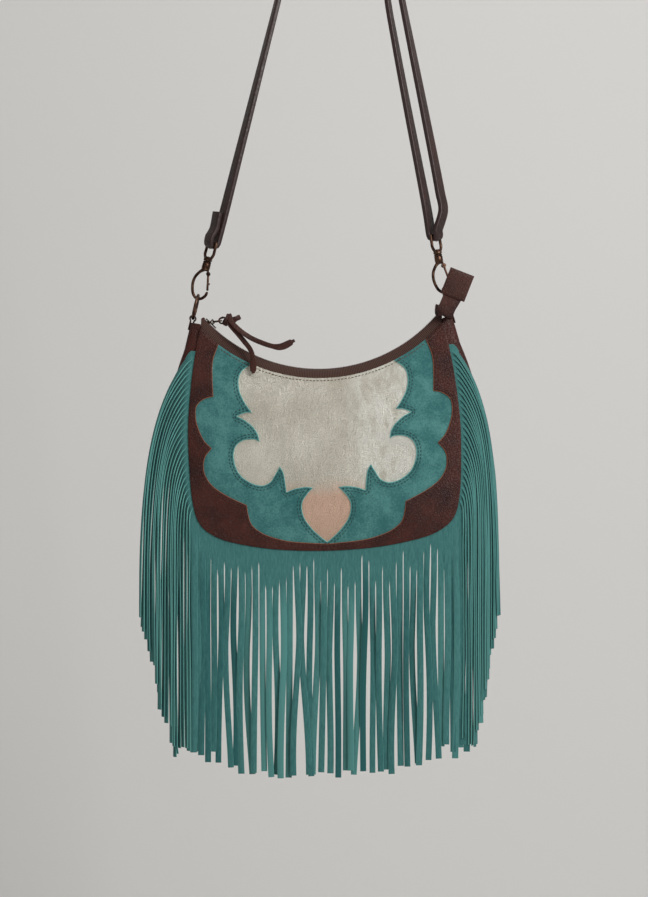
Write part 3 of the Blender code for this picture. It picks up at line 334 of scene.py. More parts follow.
def sewing_tree():
    """A node tree that lays one bead after another along edges: stitches, or the teeth of a zip."""
    tree = bpy.data.node_groups.new("beads_along_edges", "GeometryNodeTree")
    sockets = (("Geometry", "NodeSocketGeometry"), ("Pitch", "NodeSocketFloat"),
               ("Size", "NodeSocketVector"), ("Material", "NodeSocketMaterial"))
    for name, kind in sockets:
        tree.interface.new_socket(name, in_out="INPUT", socket_type=kind)
    tree.interface.new_socket("Geometry", in_out="OUTPUT", socket_type="NodeSocketGeometry")

    def add(kind, inputs=None, **settings):
        node = tree.nodes.new(kind)
        for key, value in settings.items():
            setattr(node, key, value)
        for key, value in (inputs or {}).items():
            if isinstance(value, bpy.types.NodeSocket):
                tree.links.new(value, node.inputs[key])
            else:
                node.inputs[key].default_value = value
        return node

    given = add("NodeGroupInput").outputs
    curve = add("GeometryNodeMeshToCurve", {"Mesh": given["Geometry"]}).outputs[0]
    inputs = {"Curve": curve, "Length": given["Pitch"]}
    even = add("GeometryNodeResampleCurve", inputs, mode="LENGTH").outputs[0]
    tangent = add("GeometryNodeInputTangent").outputs[0]
    up = add("GeometryNodeInputNamedAttribute", {"Name": "up"}, data_type="FLOAT_VECTOR").outputs[0]
    turn = add("FunctionNodeAlignRotationToVector", {"Vector": tangent}, axis="X").outputs[0]
    turn = add("FunctionNodeAlignRotationToVector", {"Rotation": turn, "Vector": up}, axis="Z",
               pivot_axis="X").outputs[0]
    bead = add("GeometryNodeMeshUVSphere", {"Segments": 8, "Rings": 6, "Radius": 0.5}).outputs[0]
    laid = add("GeometryNodeInstanceOnPoints", {"Points": even, "Instance": bead, "Rotation": turn,
                                                "Scale": given["Size"]}).outputs[0]
    real = add("GeometryNodeRealizeInstances", {"Geometry": laid}).outputs[0]
    soft = add("GeometryNodeSetShadeSmooth", {"Geometry": real}).outputs[0]
    done = add("GeometryNodeSetMaterial", {"Geometry": soft, "Material": given["Material"]}).outputs[0]
    add("NodeGroupOutput", {"Geometry": done})
    return tree


def beads(name, rows, size, pitch, material, body, nodes=()):
    """A piece of beads along rows, each a list of places with the way up from the surface."""
    verts = [p for row in rows for p, _ in row]
    edges = []
    for row in rows:
        start = edges[-1][1] + 1 if edges else 0
        edges += [(start + k, start + k + 1) for k in range(len(row) - 1)]
    mesh = bpy.data.meshes.new(name + "_line")
    mesh.from_pydata([tuple(v) for v in verts], edges, [])
    up = mesh.attributes.new("up", "FLOAT_VECTOR", "POINT")
    up.data.foreach_set("vector", [c for row in rows for _, way in row for c in way])
    line = bpy.data.objects.new(name + "_line", mesh)
    bpy.context.scene.collection.objects.link(line)
    modifier = line.modifiers.new("Beads", "NODES")
    modifier.node_group = SEWING
    for item in SEWING.interface.items_tree:
        value = {"Pitch": pitch, "Size": size, "Material": material}.get(item.name)
        if item.in_out == "INPUT" and value is not None:
            modifier[item.identifier] = value
    graph = bpy.context.evaluated_depsgraph_get()
    plain = bpy.data.meshes.new_from_object(line.evaluated_get(graph), depsgraph=graph)
    bpy.data.objects.remove(line)
    plain.name = name
    return placed(name, plain, body, nodes)


SEWING = sewing_tree()
BROWN_DARK, BROWN_LIGHT, RAW = srgb(44, 16, 10), srgb(72, 32, 22), srgb(142, 86, 60)
strap_leather = leather("strap_leather", srgb(34, 17, 14), srgb(56, 31, 26), 1300, rough=0.44)
edge_paint = Surface("strap_edge_paint", Coat_Weight=0.25, Coat_Roughness=0.3)
paint_height = edge_paint.noise(260, 3.0)
edge_paint = edge_paint.finish(edge_paint.mix(paint_height, srgb(34, 18, 15), srgb(56, 34, 30)),
                               paint_height * 0.2 + 0.32, paint_height, 0.0006)

line = [Vector((x, y, z, 0, 0, 0)) / 1000 + Vector((0, 0, 0, a, b, c)) for x, y, z, a, b, c in STRAP_LINE]
line = [Vector(p) for p in smooth([(*p[:3], *(c * 0.01 for c in p[3:])) for p in line], 0.0035)]
strap_points = [Vector(p[:3]) for p in line]
strap_ways = [Vector(p[3:]).normalized() for p in line]
strap_section = rounded(STRAP_WIDTH, STRAP_THICK, 0.0011)
strap_shape = strip(strap_points, strap_ways, strap_section)
strap = make("strap_leather", strap_shape, strap_leather, "strap", ["strap"])
strap.data.materials.append(edge_paint)
for face in strap.data.polygons:
    row = face.vertices[0] // len(strap_section)
    face.material_index = int(abs(face.normal.dot(strap_ways[row])) > 0.6)


def thread(name, dark, light, scale=3000):
    """Sewing thread in two shades."""
    s = Surface(name)
    return s.finish(s.mix(s.noise(scale), dark, light), 0.6)


thread_dark = thread("thread_dark", srgb(58, 36, 30), srgb(104, 72, 58), 4000)
rows = []
for side in (-1, 1):
    for face in (-1, 1):
        row = []
        for k in range(12, len(strap_points) - 12):
            along = direction(strap_points, k)
            way = square_to(strap_ways[k], along)
            up = along.cross(way) * face
            row.append((strap_points[k] + way * side * STRAP_STITCH_LINE + up * STRAP_THICK / 2, up))
        rows.append(row)
beads("strap_stitches", rows, (0.0030, 0.0007, 0.0005), 0.0042, thread_dark, "strap")

# Keeper and rivet
# The splice of the strap above the picture, plain: a leather keeper and a tubular rivet of dark metal.
metal = Surface("antique_metal", Metallic=1.0)
tarnish = metal.noise(210, 4.0)
speckle = metal.noise(1500, 3.0)
rubbed = metal.step(tarnish + speckle * 0.3, 0.45, 0.85)
metal_colour = metal.mix(rubbed, srgb(50, 36, 31), srgb(108, 82, 68))
metal = metal.finish(metal_colour, tarnish * 0.3 + 0.22, speckle, 0.0001)
for name in ("strap_rivet", "zip_slider", "zip_stop_left", "zip_stop_right"):
    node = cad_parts[name]
    node.data.materials.clear()
    node.data.materials.append(metal)
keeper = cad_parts["strap_keeper"]
keeper.data.materials.clear()
keeper.data.materials.append(strap_leather)

# Snap hooks and swivel eyes
# Dark copper hooks of 3 mm wire with a ferrule that turns under the eye the strap is folded round.
WIRE = 0.0015
HANG = {"left": Vector((-0.14541, 0, -0.50073)), "right": Vector((0.10111, 0, -0.49427))}
CHAIN_LEAN = {"left": math.radians(14.8), "right": math.radians(-9.3)}
BOW_TURN = {"left": 0.0, "right": math.radians(12)}
STRAP_TURN = {"left": math.radians(30), "right": math.radians(-30)}
BOW_PATH = [(-0.0008, 0.0302), (-0.0042, 0.0272), (-0.0078, 0.021), (-0.0086, 0.0135), (-0.0064, 0.0052),
            (-0.0030, 0.0010), (0, 0), (0.0034, 0.0010), (0.0066, 0.0046), (0.0076, 0.0092)]
GATE_PIN = (0.0040, 0.0266)
EYE_BAR = 0.058
BACK = Vector((0, 1, 0))


def tube(points, radius, sides=14, loop=False):
    """A round wire along points, whose radius may be a list."""
    points = [Vector(p) for p in points]
    count = len(points)
    radii = radius if isinstance(radius, list) else [radius] * count
    rings = []
    side = None
    for k, p in enumerate(points):
        before = points[k - 1] if (k or loop) else p
        after = points[(k + 1) % count] if (k < count - 1 or loop) else p
        along = (after - before).normalized()
        if side is None:
            guide = BACK if abs(along.y) < 0.7 else Vector((1, 0, 0))
            side = guide - along * guide.dot(along)
        side = square_to(side, along)
        up = along.cross(side)
        rings.append([p + radii[k] * (math.cos(a) * side + math.sin(a) * up) for a in around(sides)])
    return loft(rings, loop)


def spun(profile, place, sides=28):
    """A solid turned about a frame's z, from radius and height pairs that start and end on the axis."""
    rings = []
    for r, h in profile:
        r = max(r, 0.00002)
        rings.append([place @ Vector((r * math.cos(a), r * math.sin(a), h)) for a in around(sides)])
    return loft(rings)


for side in ("left", "right"):
    hook = Matrix.Translation(HANG[side]) @ Matrix.Rotation(CHAIN_LEAN[side], 4, "Y")
    eye = hook @ Matrix.Rotation(math.pi / 2 + STRAP_TURN[side], 4, "Z")
    hook = hook @ Matrix.Rotation(BOW_TURN[side], 4, "Z")
    bow = smooth(BOW_PATH, 0.0008)
    radii = [WIRE * (1.25 - 0.3 * min(1, k / 10)) if k < 10 else WIRE for k in range(len(bow))]
    radii[-4:] = [WIRE * 0.98, WIRE * 0.92, WIRE * 0.75, WIRE * 0.4]
    ferrule = [(0, 0.0287), (0.0030, 0.0287), (0.0037, 0.0291), (0.0041, 0.0300), (0.0038, 0.0306),
               (0.0042, 0.0312), (0.0042, 0.0360), (0.0038, 0.0366), (0.0041, 0.0372), (0.0041, 0.0380),
               (0.0034, 0.0385), (0.0016, 0.0385), (0.0016, 0.0416), (0.0028, 0.0416), (0.0030, 0.0420),
               (0.0028, 0.0428), (0.0018, 0.0434), (0, 0.0436)]
    ears = []
    for way in (-1, 1):
        disc = [(0, -0.0005), (0.0019, -0.0005), (0.0021, -0.0003), (0.0021, 0.0003), (0.0019, 0.0005),
                (0, 0.0005)]
        place = hook @ Matrix.Translation((GATE_PIN[0], way * 0.0019, GATE_PIN[1]))
        ears.append(spun(disc, place @ Matrix.Rotation(math.pi / 2, 4, "X")))
        arm = [hook @ Vector((x, way * 0.0019, z)) for x, z in ((0.0036, 0.0268), (0.0030, 0.0305))]
        ears.append(tube(arm, 0.0007))
    wire = tube([hook @ Vector((p.x, 0, p.y)) for p in bow], radii)
    body = side + "_hook"
    make(side + "_snap_hook", join(wire, spun(ferrule, hook), *ears), metal, body, [body])

    pin = hook @ Matrix.Translation((GATE_PIN[0], 0, GATE_PIN[1]))
    hinge = Vector((GATE_PIN[0], 0, GATE_PIN[1]))
    nose = Vector((BOW_PATH[-1][0], 0, BOW_PATH[-1][1]))
    tip = nose + (hinge - nose).normalized() * 0.0010
    rod = tube([hook @ (tip + (hinge - tip) * t) for t in (0, 0.02, 0.04, 0.5, 0.97, 1.0)],
               [0.0008, 0.0011, 0.0012, 0.0011, 0.0012, 0.0009])
    thumb = tip + (hinge - tip) * 0.42
    lever = [hook @ (thumb + Vector((d, 0, 0))) for d in (0.0006, 0.0016, 0.0022)]
    lever = tube(lever, [0.0008, 0.0008, 0.0010])
    rivet = [(0, -0.0028), (0.0009, -0.0028), (0.0012, -0.0026), (0.0009, -0.0024), (0.0009, 0.0024),
             (0.0012, 0.0026), (0.0009, 0.0028), (0, 0.0028)]
    axle = spun(rivet, pin @ Matrix.Rotation(math.pi / 2, 4, "X"), 14)
    make(side + "_snap_gate", join(rod, lever, axle), metal, side + "_gate", [side + "_gate"])

    low, high = 0.0388, 0.0413
    collar = [(0.0019, low), (0.0039, low), (0.0043, low + 0.0004), (0.0043, high - 0.0004), (0.0039, high),
              (0.0019, high)]
    rings = []
    for a in around(28):
        rings.append([eye @ Vector((r * math.cos(a), r * math.sin(a), h)) for r, h in collar])
    half = STRAP_WIDTH / 2 + WIRE + 0.0006
    right = [(0.0040, 0.0400), (0.0066, high + 0.0008), (half, high + 0.0045), (half, 0.050),
             (half, EYE_BAR - 0.0024), (half - 0.0007, EYE_BAR - 0.0007), (half - 0.0024, EYE_BAR)]
    left = [(-x, z) for x, z in right]
    path = smooth(left, 0.0012) + smooth(right[::-1], 0.0012)
    arms = tube([eye @ Vector((p.x, 0, p.y)) for p in path], WIRE)
    make(side + "_eye", join(loft(rings, loop=True), arms), metal, "strap", [side + "_swivel_eye"])

# Bag shape
# The outline of the seam, the arc of the zip and the depths of the filled bag, as the solids have them.
BAG_X, BAG_Z, TILT = -0.0155, -0.7515, math.radians(1.5)
FRONT_EDGE = [(0, 0), (0.050, 0.0025), (0.090, 0.0095), (0.112, 0.0175), (0.126, 0.030), (0.132, 0.050),
              (0.1345, 0.080), (0.135, 0.125), (0.131, 0.168), (0.1265, 0.197), (0.121, 0.224)]
CORNER_U, CORNER_V = FRONT_EDGE[-1]
HALF_WIDTH = 0.1355
TOP_ARC, TOP_HALF_DEPTH, FRONT_BOTTOM_DEPTH, BACK_BOTTOM_DEPTH, CROWN = 0.1646, 0.013, 0.025, 0.034, 0.008
ARC_V = CORNER_V + math.sqrt(TOP_ARC ** 2 - CORNER_U ** 2)
TOP_V = ARC_V - TOP_ARC
SEAT, LEATHER = 0.0003, 0.0010
FINE = 0.0022


def bag(u, v, w=0.0):
    """A place on the bag, in the world."""
    x = BAG_X + u * math.cos(TILT) - v * math.sin(TILT)
    return Vector((x, w, BAG_Z + u * math.sin(TILT) + v * math.cos(TILT)))


def on_arc(radius, angle):
    """The u and v of a point on a circle about the zip's centre, at an angle from straight down."""
    return Vector((radius * math.sin(angle), ARC_V - radius * math.cos(angle)))


def seam_depth(v, bottom):
    """How far the seam stands from the zip's plane, from a depth at the bottom to the zip's at the top."""
    return TOP_HALF_DEPTH + (bottom - TOP_HALF_DEPTH) * (1 - v / CORNER_V)


def crown(u, v):
    """How far the filled bag stands out of the plane of its seam, with the soft dents of its leather."""
    across = max(0.0, 1 - (u / HALF_WIDTH) ** 2)
    t = min(1.0, max(0.0, v / (TOP_V * 1.12)))
    dent = 0.0011 * noise.noise(Vector((u * 22, v * 22, 3.0))) * min(1.0, across * 2.5)
    return CROWN * across * 4 * t * (1 - t) + dent


def front_face(u, v):
    """The w of the front's outer face."""
    return -seam_depth(v, FRONT_BOTTOM_DEPTH) - crown(u, v)


def back_face(u, v):
    """The w of the back's outer face."""
    return seam_depth(v, BACK_BOTTOM_DEPTH) + crown(u, v)


def seam(step=FINE):
    """The sewn outline, from the left corner of the zip, down and round to the right one."""
    half = list(reversed(FRONT_EDGE[1:]))
    return smooth([(-u, v) for u, v in half] + FRONT_EDGE, step)


def top_edge(right_u, left_u):
    """Points on the top edge from one u to another, without its ends."""
    start, end = math.asin(right_u / TOP_ARC), math.asin(left_u / TOP_ARC)
    count = max(2, round(abs(start - end) * TOP_ARC / FINE))
    return [on_arc(TOP_ARC, start + (end - start) * k / count) for k in range(1, count)]


def window(cuts, step=FINE):
    """A scalloped cut from the left of the top edge, down, across the centre and up to the right."""
    right = []
    for cut in cuts:
        right += smooth(cut, step)[:-1]
    right.append(Vector(cuts[-1][-1]))
    return [Vector((-p.x, p.y)) for p in right[:-1]] + list(reversed(right))


def sheet(name, outline, face, thickness, material, nodes, edge_from=None, grid=0.0042):
    """A sheet of leather with its outer face at face(u, v), a rounded cut edge and sunk seams."""
    near = tree_of(outline)
    inside = []
    for k, p in enumerate(outline):
        along = (outline[(k + 1) % len(outline)] - outline[k - 1]).normalized()
        for depth in (0.0007, 0.0018, 0.0036):
            q = p + left_of(along) * depth
            if near.find((q.x, q.y, 0))[2] > depth * 0.93:
                inside.append(q)
    near_all = tree_of(outline + inside)
    low_u, high_u = min(p.x for p in outline), max(p.x for p in outline)
    high_v = max(p.y for p in outline)
    for i in range(int(low_u / grid) - 1, int(high_u / grid) + 2):
        for j in range(0, int(high_v / grid) + 2):
            q = Vector(((i + 0.5 * (j % 2)) * grid, j * grid * 0.87))
            if near_all.find((q.x, q.y, 0))[2] > grid * 0.6:
                inside.append(q)
    count = len(outline)
    ring = [(k, (k + 1) % count) for k in range(count)]
    points, _, faces, *_ = geometry.delaunay_2d_cdt(list(outline) + inside, ring, [], 1, 1e-7)
    used = sorted({k for tri in faces for k in tri})
    index = {k: n for n, k in enumerate(used)}
    cut = tree_of(edge_from or outline)
    outer, inner, edge = [], [], []
    way = 1 if thickness > 0 else -1
    for k in used:
        p = points[k]
        gap = cut.find((p.x, p.y, 0))[2]
        rim = near.find((p.x, p.y, 0))[2]
        sink = 0.00035 * math.exp(-(rim / 0.0006) ** 2)
        sink += 0.00022 * math.exp(-((gap - 0.0024) / 0.0009) ** 2)
        outer.append(bag(p.x, p.y, face(p.x, p.y) + way * sink))
        inner.append(bag(p.x, p.y, face(p.x, p.y) + thickness))
        edge.append(gap)
    n = len(used)
    made = [tuple(index[k] for k in tri) for tri in faces]
    sides = {}
    for tri in made:
        for a, b in zip(tri, tri[1:] + tri[:1]):
            sides.setdefault(frozenset((a, b)), []).append((a, b))
    walls = [(a, a + n, b + n, b) for pairs in sides.values() if len(pairs) == 1 for a, b in pairs]
    all_faces = made + [tuple(reversed([k + n for k in tri])) for tri in made] + walls
    return make(name, (outer + inner, all_faces), material, "bag", nodes, sharp=50, edge=edge + [0.0] * n)


# Front panel
# Dark brown pebbled leather with a scalloped window, whose raw coppery edge shows, over the suede.
SUEDE_WINDOW = [
    [(0.103, 0.2072), (0.1088, 0.191), (0.1097, 0.173), (0.1092, 0.1555)],
    [(0.1092, 0.1555), (0.1177, 0.1535), (0.125, 0.148), (0.1272, 0.1405), (0.126, 0.128), (0.120, 0.113),
     (0.112, 0.104)],
    [(0.112, 0.104), (0.1185, 0.096), (0.1204, 0.0865), (0.1185, 0.0765), (0.111, 0.066), (0.0965, 0.056),
     (0.0785, 0.047)],
    [(0.0785, 0.047), (0.0775, 0.0385), (0.074, 0.0275), (0.064, 0.019), (0.049, 0.013), (0.032, 0.0095),
     (0, 0.0068)],
]
brown_leather = leather("brown_leather", BROWN_DARK, BROWN_LIGHT, 950, raw=RAW, rub=srgb(92, 50, 37))
suede_cut = window(SUEDE_WINDOW)
suede_u = SUEDE_WINDOW[0][0][0]
outline = seam() + top_edge(CORNER_U, suede_u) + list(reversed(suede_cut)) + top_edge(-suede_u, -CORNER_U)
sheet("front_leather", outline, front_face, LEATHER, brown_leather, ["front_panel"], edge_from=suede_cut)

# Suede inlay
# Turquoise suede in two shades of nap, with the pale cut edge of its own window over the foil.
METAL_WINDOW = [
    [(0.071, 0.1871), (0.0808, 0.1795), (0.084, 0.170), (0.0827, 0.1585), (0.077, 0.1465),
     (0.0713, 0.1385)],
    [(0.0713, 0.1385), (0.078, 0.1384), (0.0865, 0.1353)],
    [(0.0865, 0.1353), (0.0785, 0.131), (0.0708, 0.1245), (0.066, 0.117), (0.0645, 0.1095)],
    [(0.0645, 0.1095), (0.070, 0.112), (0.0795, 0.1115), (0.087, 0.107), (0.0903, 0.099), (0.0895, 0.088),
     (0.084, 0.0765), (0.074, 0.069), (0.0635, 0.066), (0.055, 0.069), (0.050, 0.076), (0.045, 0.0845)],
    [(0.045, 0.0845), (0.0415, 0.078), (0.040, 0.0685), (0.039, 0.059)],
    [(0.039, 0.059), (0.0305, 0.062), (0.020, 0.0635), (0.0125, 0.0625)],
    [(0.0125, 0.0625), (0.0185, 0.0565), (0.024, 0.047), (0.0225, 0.034), (0.015, 0.0225), (0.006, 0.0135),
     (0, 0.0087)],
]
BLANK_INSET = 0.0032


def suede(name, dark, light, raw):
    """Napped suede: fine fibres with painted shade between them, brushed patches, a soft sheen and a pale
    cut edge.
    """
    s = Surface(name, Roughness=0.92, Sheen_Weight=0.35, Sheen_Roughness=0.45, Specular_IOR_Level=0.15)
    s.shader.inputs["Sheen Tint"].default_value = srgb(150, 200, 196)
    fibre = s.noise(1800, 4.0, 0.7)
    nap = s.noise(520, 4.0, 0.65)
    patch = s.noise(55, 4.0)
    tone = patch * 0.55 + nap * 0.45
    colour = s.mix(s.step(tone, 0.36, 0.66), dark, light)
    # Painted shade between the fibres: darker where the fibre noise is high.
    colour = s.mix(s.step(fibre, 0.3, 0.75) * 0.35, colour, painted_shade_of(dark))
    cut = s.step(s.attribute("edge") + s.noise(900, 2.0) * 0.0003, 0.0003, 0.0008)
    return s.finish(s.mix(cut, raw, colour), None, fibre + nap * 0.8, 0.0003)


TEAL_DARK, TEAL_LIGHT = srgb(58, 108, 108), srgb(92, 146, 142)
suede_teal = suede("teal_suede", TEAL_DARK, TEAL_LIGHT, srgb(120, 190, 184))
metal_cut = window(METAL_WINDOW)
metal_u = METAL_WINDOW[0][0][0]
blank_u = CORNER_U - BLANK_INSET
points = seam()
inset = []
for k, p in enumerate(points):
    along = direction(points, k)
    q = p + BLANK_INSET * left_of(along)
    if (q - Vector((0, ARC_V))).length > TOP_ARC + 0.001:
        inset.append(q)
corner = math.asin(blank_u / TOP_ARC)
outline = [on_arc(TOP_ARC, -corner)] + inset + [on_arc(TOP_ARC, corner)] + top_edge(blank_u, metal_u)
outline += list(reversed(metal_cut)) + top_edge(-metal_u, -blank_u)


def suede_face(u, v):
    return front_face(u, v) + LEATHER + SEAT


sheet("suede_panel", outline, suede_face, LEATHER, suede_teal, ["suede_inlay"], edge_from=metal_cut)

# Foil inlay
# Champagne and pewter foil on crackled leather, with a painted highlight to the right and coppery in the
# lowest heart.
METAL_BLANK = [(0, 0.0045), (0.018, 0.014), (0.030, 0.032), (0.042, 0.050), (0.062, 0.058), (0.084, 0.066),
               (0.096, 0.084), (0.097, 0.105), (0.093, 0.135), (0.091, 0.165), (0.089, 0.1971)]
foil = Surface("foil_leather", Metallic=0.88, Specular_IOR_Level=0.5)
grains = foil.cells(1900, where=foil.warped(0.0008, 600))
creases = foil.noise(1.0, 3.0, 0.6, where=foil.stretched((90, 90, 38)))
cloud = foil.noise(30, 4.0)
height_above = foil.place.node("ShaderNodeSeparateXYZ", "Z", {0: foil.place})
dulled = foil.step(cloud * 0.5 + grains * 0.5, 0.2, 0.7)
foil_colour = foil.mix(dulled, srgb(220, 217, 204), srgb(178, 172, 158))
pinkish = foil.step(height_above + foil.noise(60, 2.0) * 0.02, -0.668, -0.692) * 0.85
foil_colour = foil.mix(pinkish, foil_colour, srgb(200, 162, 140))
# Painted highlight: a near-white patch along the creases on the right of the foil, where the light falls.
from_left = foil.place.node("ShaderNodeSeparateXYZ", "X", {0: foil.place})
on_right = foil.step(from_left + cloud * 0.03, 0.016, 0.040)
painted_highlight = on_right * foil.step(creases + foil.noise(160, 3.0) * 0.4, 0.5, 0.75)
foil_colour = foil.mix(painted_highlight * (1.0 - pinkish) * 0.45, foil_colour, srgb(232, 233, 226))
worn = foil.step(foil.noise(700, 4.0, 0.7), 0.54, 0.74) * 0.5
foil_colour = foil.mix(worn, foil_colour, srgb(120, 104, 88))
foil_height = (1.0 - grains) * 0.6 + foil.step(creases, 0.3, 0.7) * 0.45 + foil.noise(2200, 2.0) * 0.3
foil_leather = foil.finish(foil_colour, cloud * 0.2 + 0.30, foil_height, 0.0006)
blank = smooth([(-u, v) for u, v in reversed(METAL_BLANK[1:])] + METAL_BLANK, 0.004)
outline = blank + top_edge(METAL_BLANK[-1][0], -METAL_BLANK[-1][0])


def foil_face(u, v):
    return front_face(u, v) + 2 * (LEATHER + SEAT)


sheet("foil_panel", outline, foil_face, LEATHER, foil_leather, ["metallic_inlay"])

# Back panel, side wall and lining
# Plain brown leather behind, a soft side wall that bulges below the hooks, and a brown cloth pouch.
GUSSET_BULGE = [(0.0, 0.005), (0.35, 0.011), (0.55, 0.018), (0.78, 0.020), (0.92, 0.012), (1.0, 0.0105)]
GUSSET_WALL, GUSSET_RISE, FRINGE_THICK = 0.0014, 0.004, 0.0011
outline = seam() + top_edge(CORNER_U, -CORNER_U)
sheet("back_leather", outline, back_face, -LEATHER, brown_leather, ["back_panel"], edge_from=seam(),
      grid=0.006)


def profile_value(profile, place):
    """The value at a place on a run of places and values, straight between them."""
    for (a, low), (b, high) in zip(profile, profile[1:]):
        if place <= b:
            return low + (high - low) * (place - a) / (b - a)
    return profile[-1][1]


points = seam(0.0045)
first, last = points[0], points[-1]
points = [first + (first - points[1]).normalized() * GUSSET_RISE] + points
points.append(last + (last - points[-2]).normalized() * GUSSET_RISE)
middle = (len(points) - 1) / 2
rings = []
for k, p in enumerate(points):
    along = direction(points, k)
    out = -left_of(along)
    share = abs(k - middle) / middle
    high = profile_value(GUSSET_BULGE, share) * (1 + 0.04 * math.sin(k * 0.9) * (1 - share))
    low_w = -seam_depth(p.y, FRONT_BOTTOM_DEPTH) + LEATHER + FRINGE_THICK + 2 * SEAT
    high_w = seam_depth(p.y, BACK_BOTTOM_DEPTH) - LEATHER - SEAT
    centre, half = (low_w + high_w) / 2, (high_w - low_w) / 2
    turns = [-1 + 2 * n / 16 for n in range(17)]
    ring = []
    for inset_by, order in ((0.0, turns), (GUSSET_WALL, list(reversed(turns)))):
        for t in order:
            t = math.sin(t * math.pi / 2)
            place = p + out * (high - inset_by) * math.sqrt(max(0.0, 1 - t ** 6))
            ring.append(bag(place.x, place.y, centre + t * (half - inset_by)))
    rings.append(ring)
part = loft(rings)
make("side_wall", part, brown_leather, "bag", ["gusset"], edge=[0.01] * len(part[0]))

cloth = Surface("brown_cloth", Roughness=0.85, Sheen_Weight=0.1)
inputs = {"Vector": cloth.place, "Scale": 420.0, "Distortion": 1.0}
weave = cloth.place.node("ShaderNodeTexWave", "Fac", inputs)
cloth_colour = cloth.mix(weave * 0.6 + cloth.noise(300) * 0.4, srgb(50, 28, 22), srgb(88, 56, 44))
cloth = cloth.finish(cloth_colour, None, weave, 0.00015)
rings = []
for wall, shares in ((0.0, range(13)), (0.0006, range(12, -1, -1))):
    for k in shares:
        share = k / 12
        ring = []
        for a in around(56):
            across = math.copysign(abs(math.cos(a)) ** 0.6, math.cos(a))
            deep = math.copysign(abs(math.sin(a)) ** 0.5, math.sin(a))
            reach = 0.55 + 0.45 * min(1.0, share * 3) ** 0.5
            u = across * (HALF_WIDTH - 0.018) * reach * (1 - 0.06 * share ** 3) - across * wall
            top = ARC_V - math.sqrt((TOP_ARC + 0.0078) ** 2 - u * u)
            v = 0.006 + wall + share * (top - 0.006 - wall)
            front = front_face(u, v) + 0.0039 + wall
            back = back_face(u, v) - LEATHER - 2 * SEAT - wall
            ring.append(bag(u, v, (front + back) / 2 - deep * (back - front) / 2))
        rings.append(ring)
make("lining_cloth", loft(rings), cloth, "bag", ["lining"])

# Stitches on the front
# Reddish brown rows beside the brown leather's cut, two rows of dark teal round the foil, and one row
# of dark thread under the rim.


def beside(cut, gap, face):
    """Rows of places at a distance from a cut, on a face, broken where the cut turns sharply."""
    near = tree_of(cut)
    rows, row = [], []
    for k in range(1, len(cut) - 1):
        along = direction(cut, k)
        q = cut[k] + left_of(along) * gap
        inside_top = (q - Vector((0, ARC_V))).length > TOP_ARC + 0.0018
        if near.find((q.x, q.y, 0))[2] > abs(gap) * 0.93 and inside_top:
            row.append((bag(q.x, q.y, face(q.x, q.y) - 0.00002), Vector((0, -1, 0))))
        elif row:
            rows.append(row)
            row = []
    rows.append(row)
    return [row for row in rows if len(row) > 1]


stitch_brown = thread("stitch_brown", srgb(30, 12, 9), srgb(84, 42, 30))
stitch_teal = thread("stitch_teal", srgb(8, 44, 44), srgb(20, 70, 68))
fine_suede = window(SUEDE_WINDOW, 0.0009)
fine_metal = window(METAL_WINDOW, 0.0009)
rows = beside(fine_suede, -0.0021, front_face) + beside(fine_suede, -0.0042, front_face)
beads("brown_stitches", rows, (0.0027, 0.0009, 0.0008), 0.0038, stitch_brown, "bag")
rows = beside(fine_metal, -0.0020, suede_face) + beside(fine_metal, -0.0045, suede_face)
beads("teal_stitches", rows, (0.0026, 0.0010, 0.0008), 0.0036, stitch_teal, "bag")
rows = []
rim_arc = TOP_ARC + 0.0026
for face, way, low, high in ((front_face, -1, -0.118, -0.1045), (front_face, -1, 0.1045, 0.118),
                             (back_face, 1, -0.118, 0.118), (suede_face, -1, -0.100, -0.0735),
                             (suede_face, -1, 0.0735, 0.100), (foil_face, -1, -0.069, 0.069)):
    start, end = math.asin(low / rim_arc), math.asin(high / rim_arc)
    places = [on_arc(rim_arc, start + (end - start) * k / 80) for k in range(81)]
    rows.append([(bag(p.x, p.y, face(p.x, p.y)), Vector((0, way, 0))) for p in places])
beads("rim_stitches", rows, (0.0026, 0.0009, 0.0008), 0.0034, thread_dark, "bag")

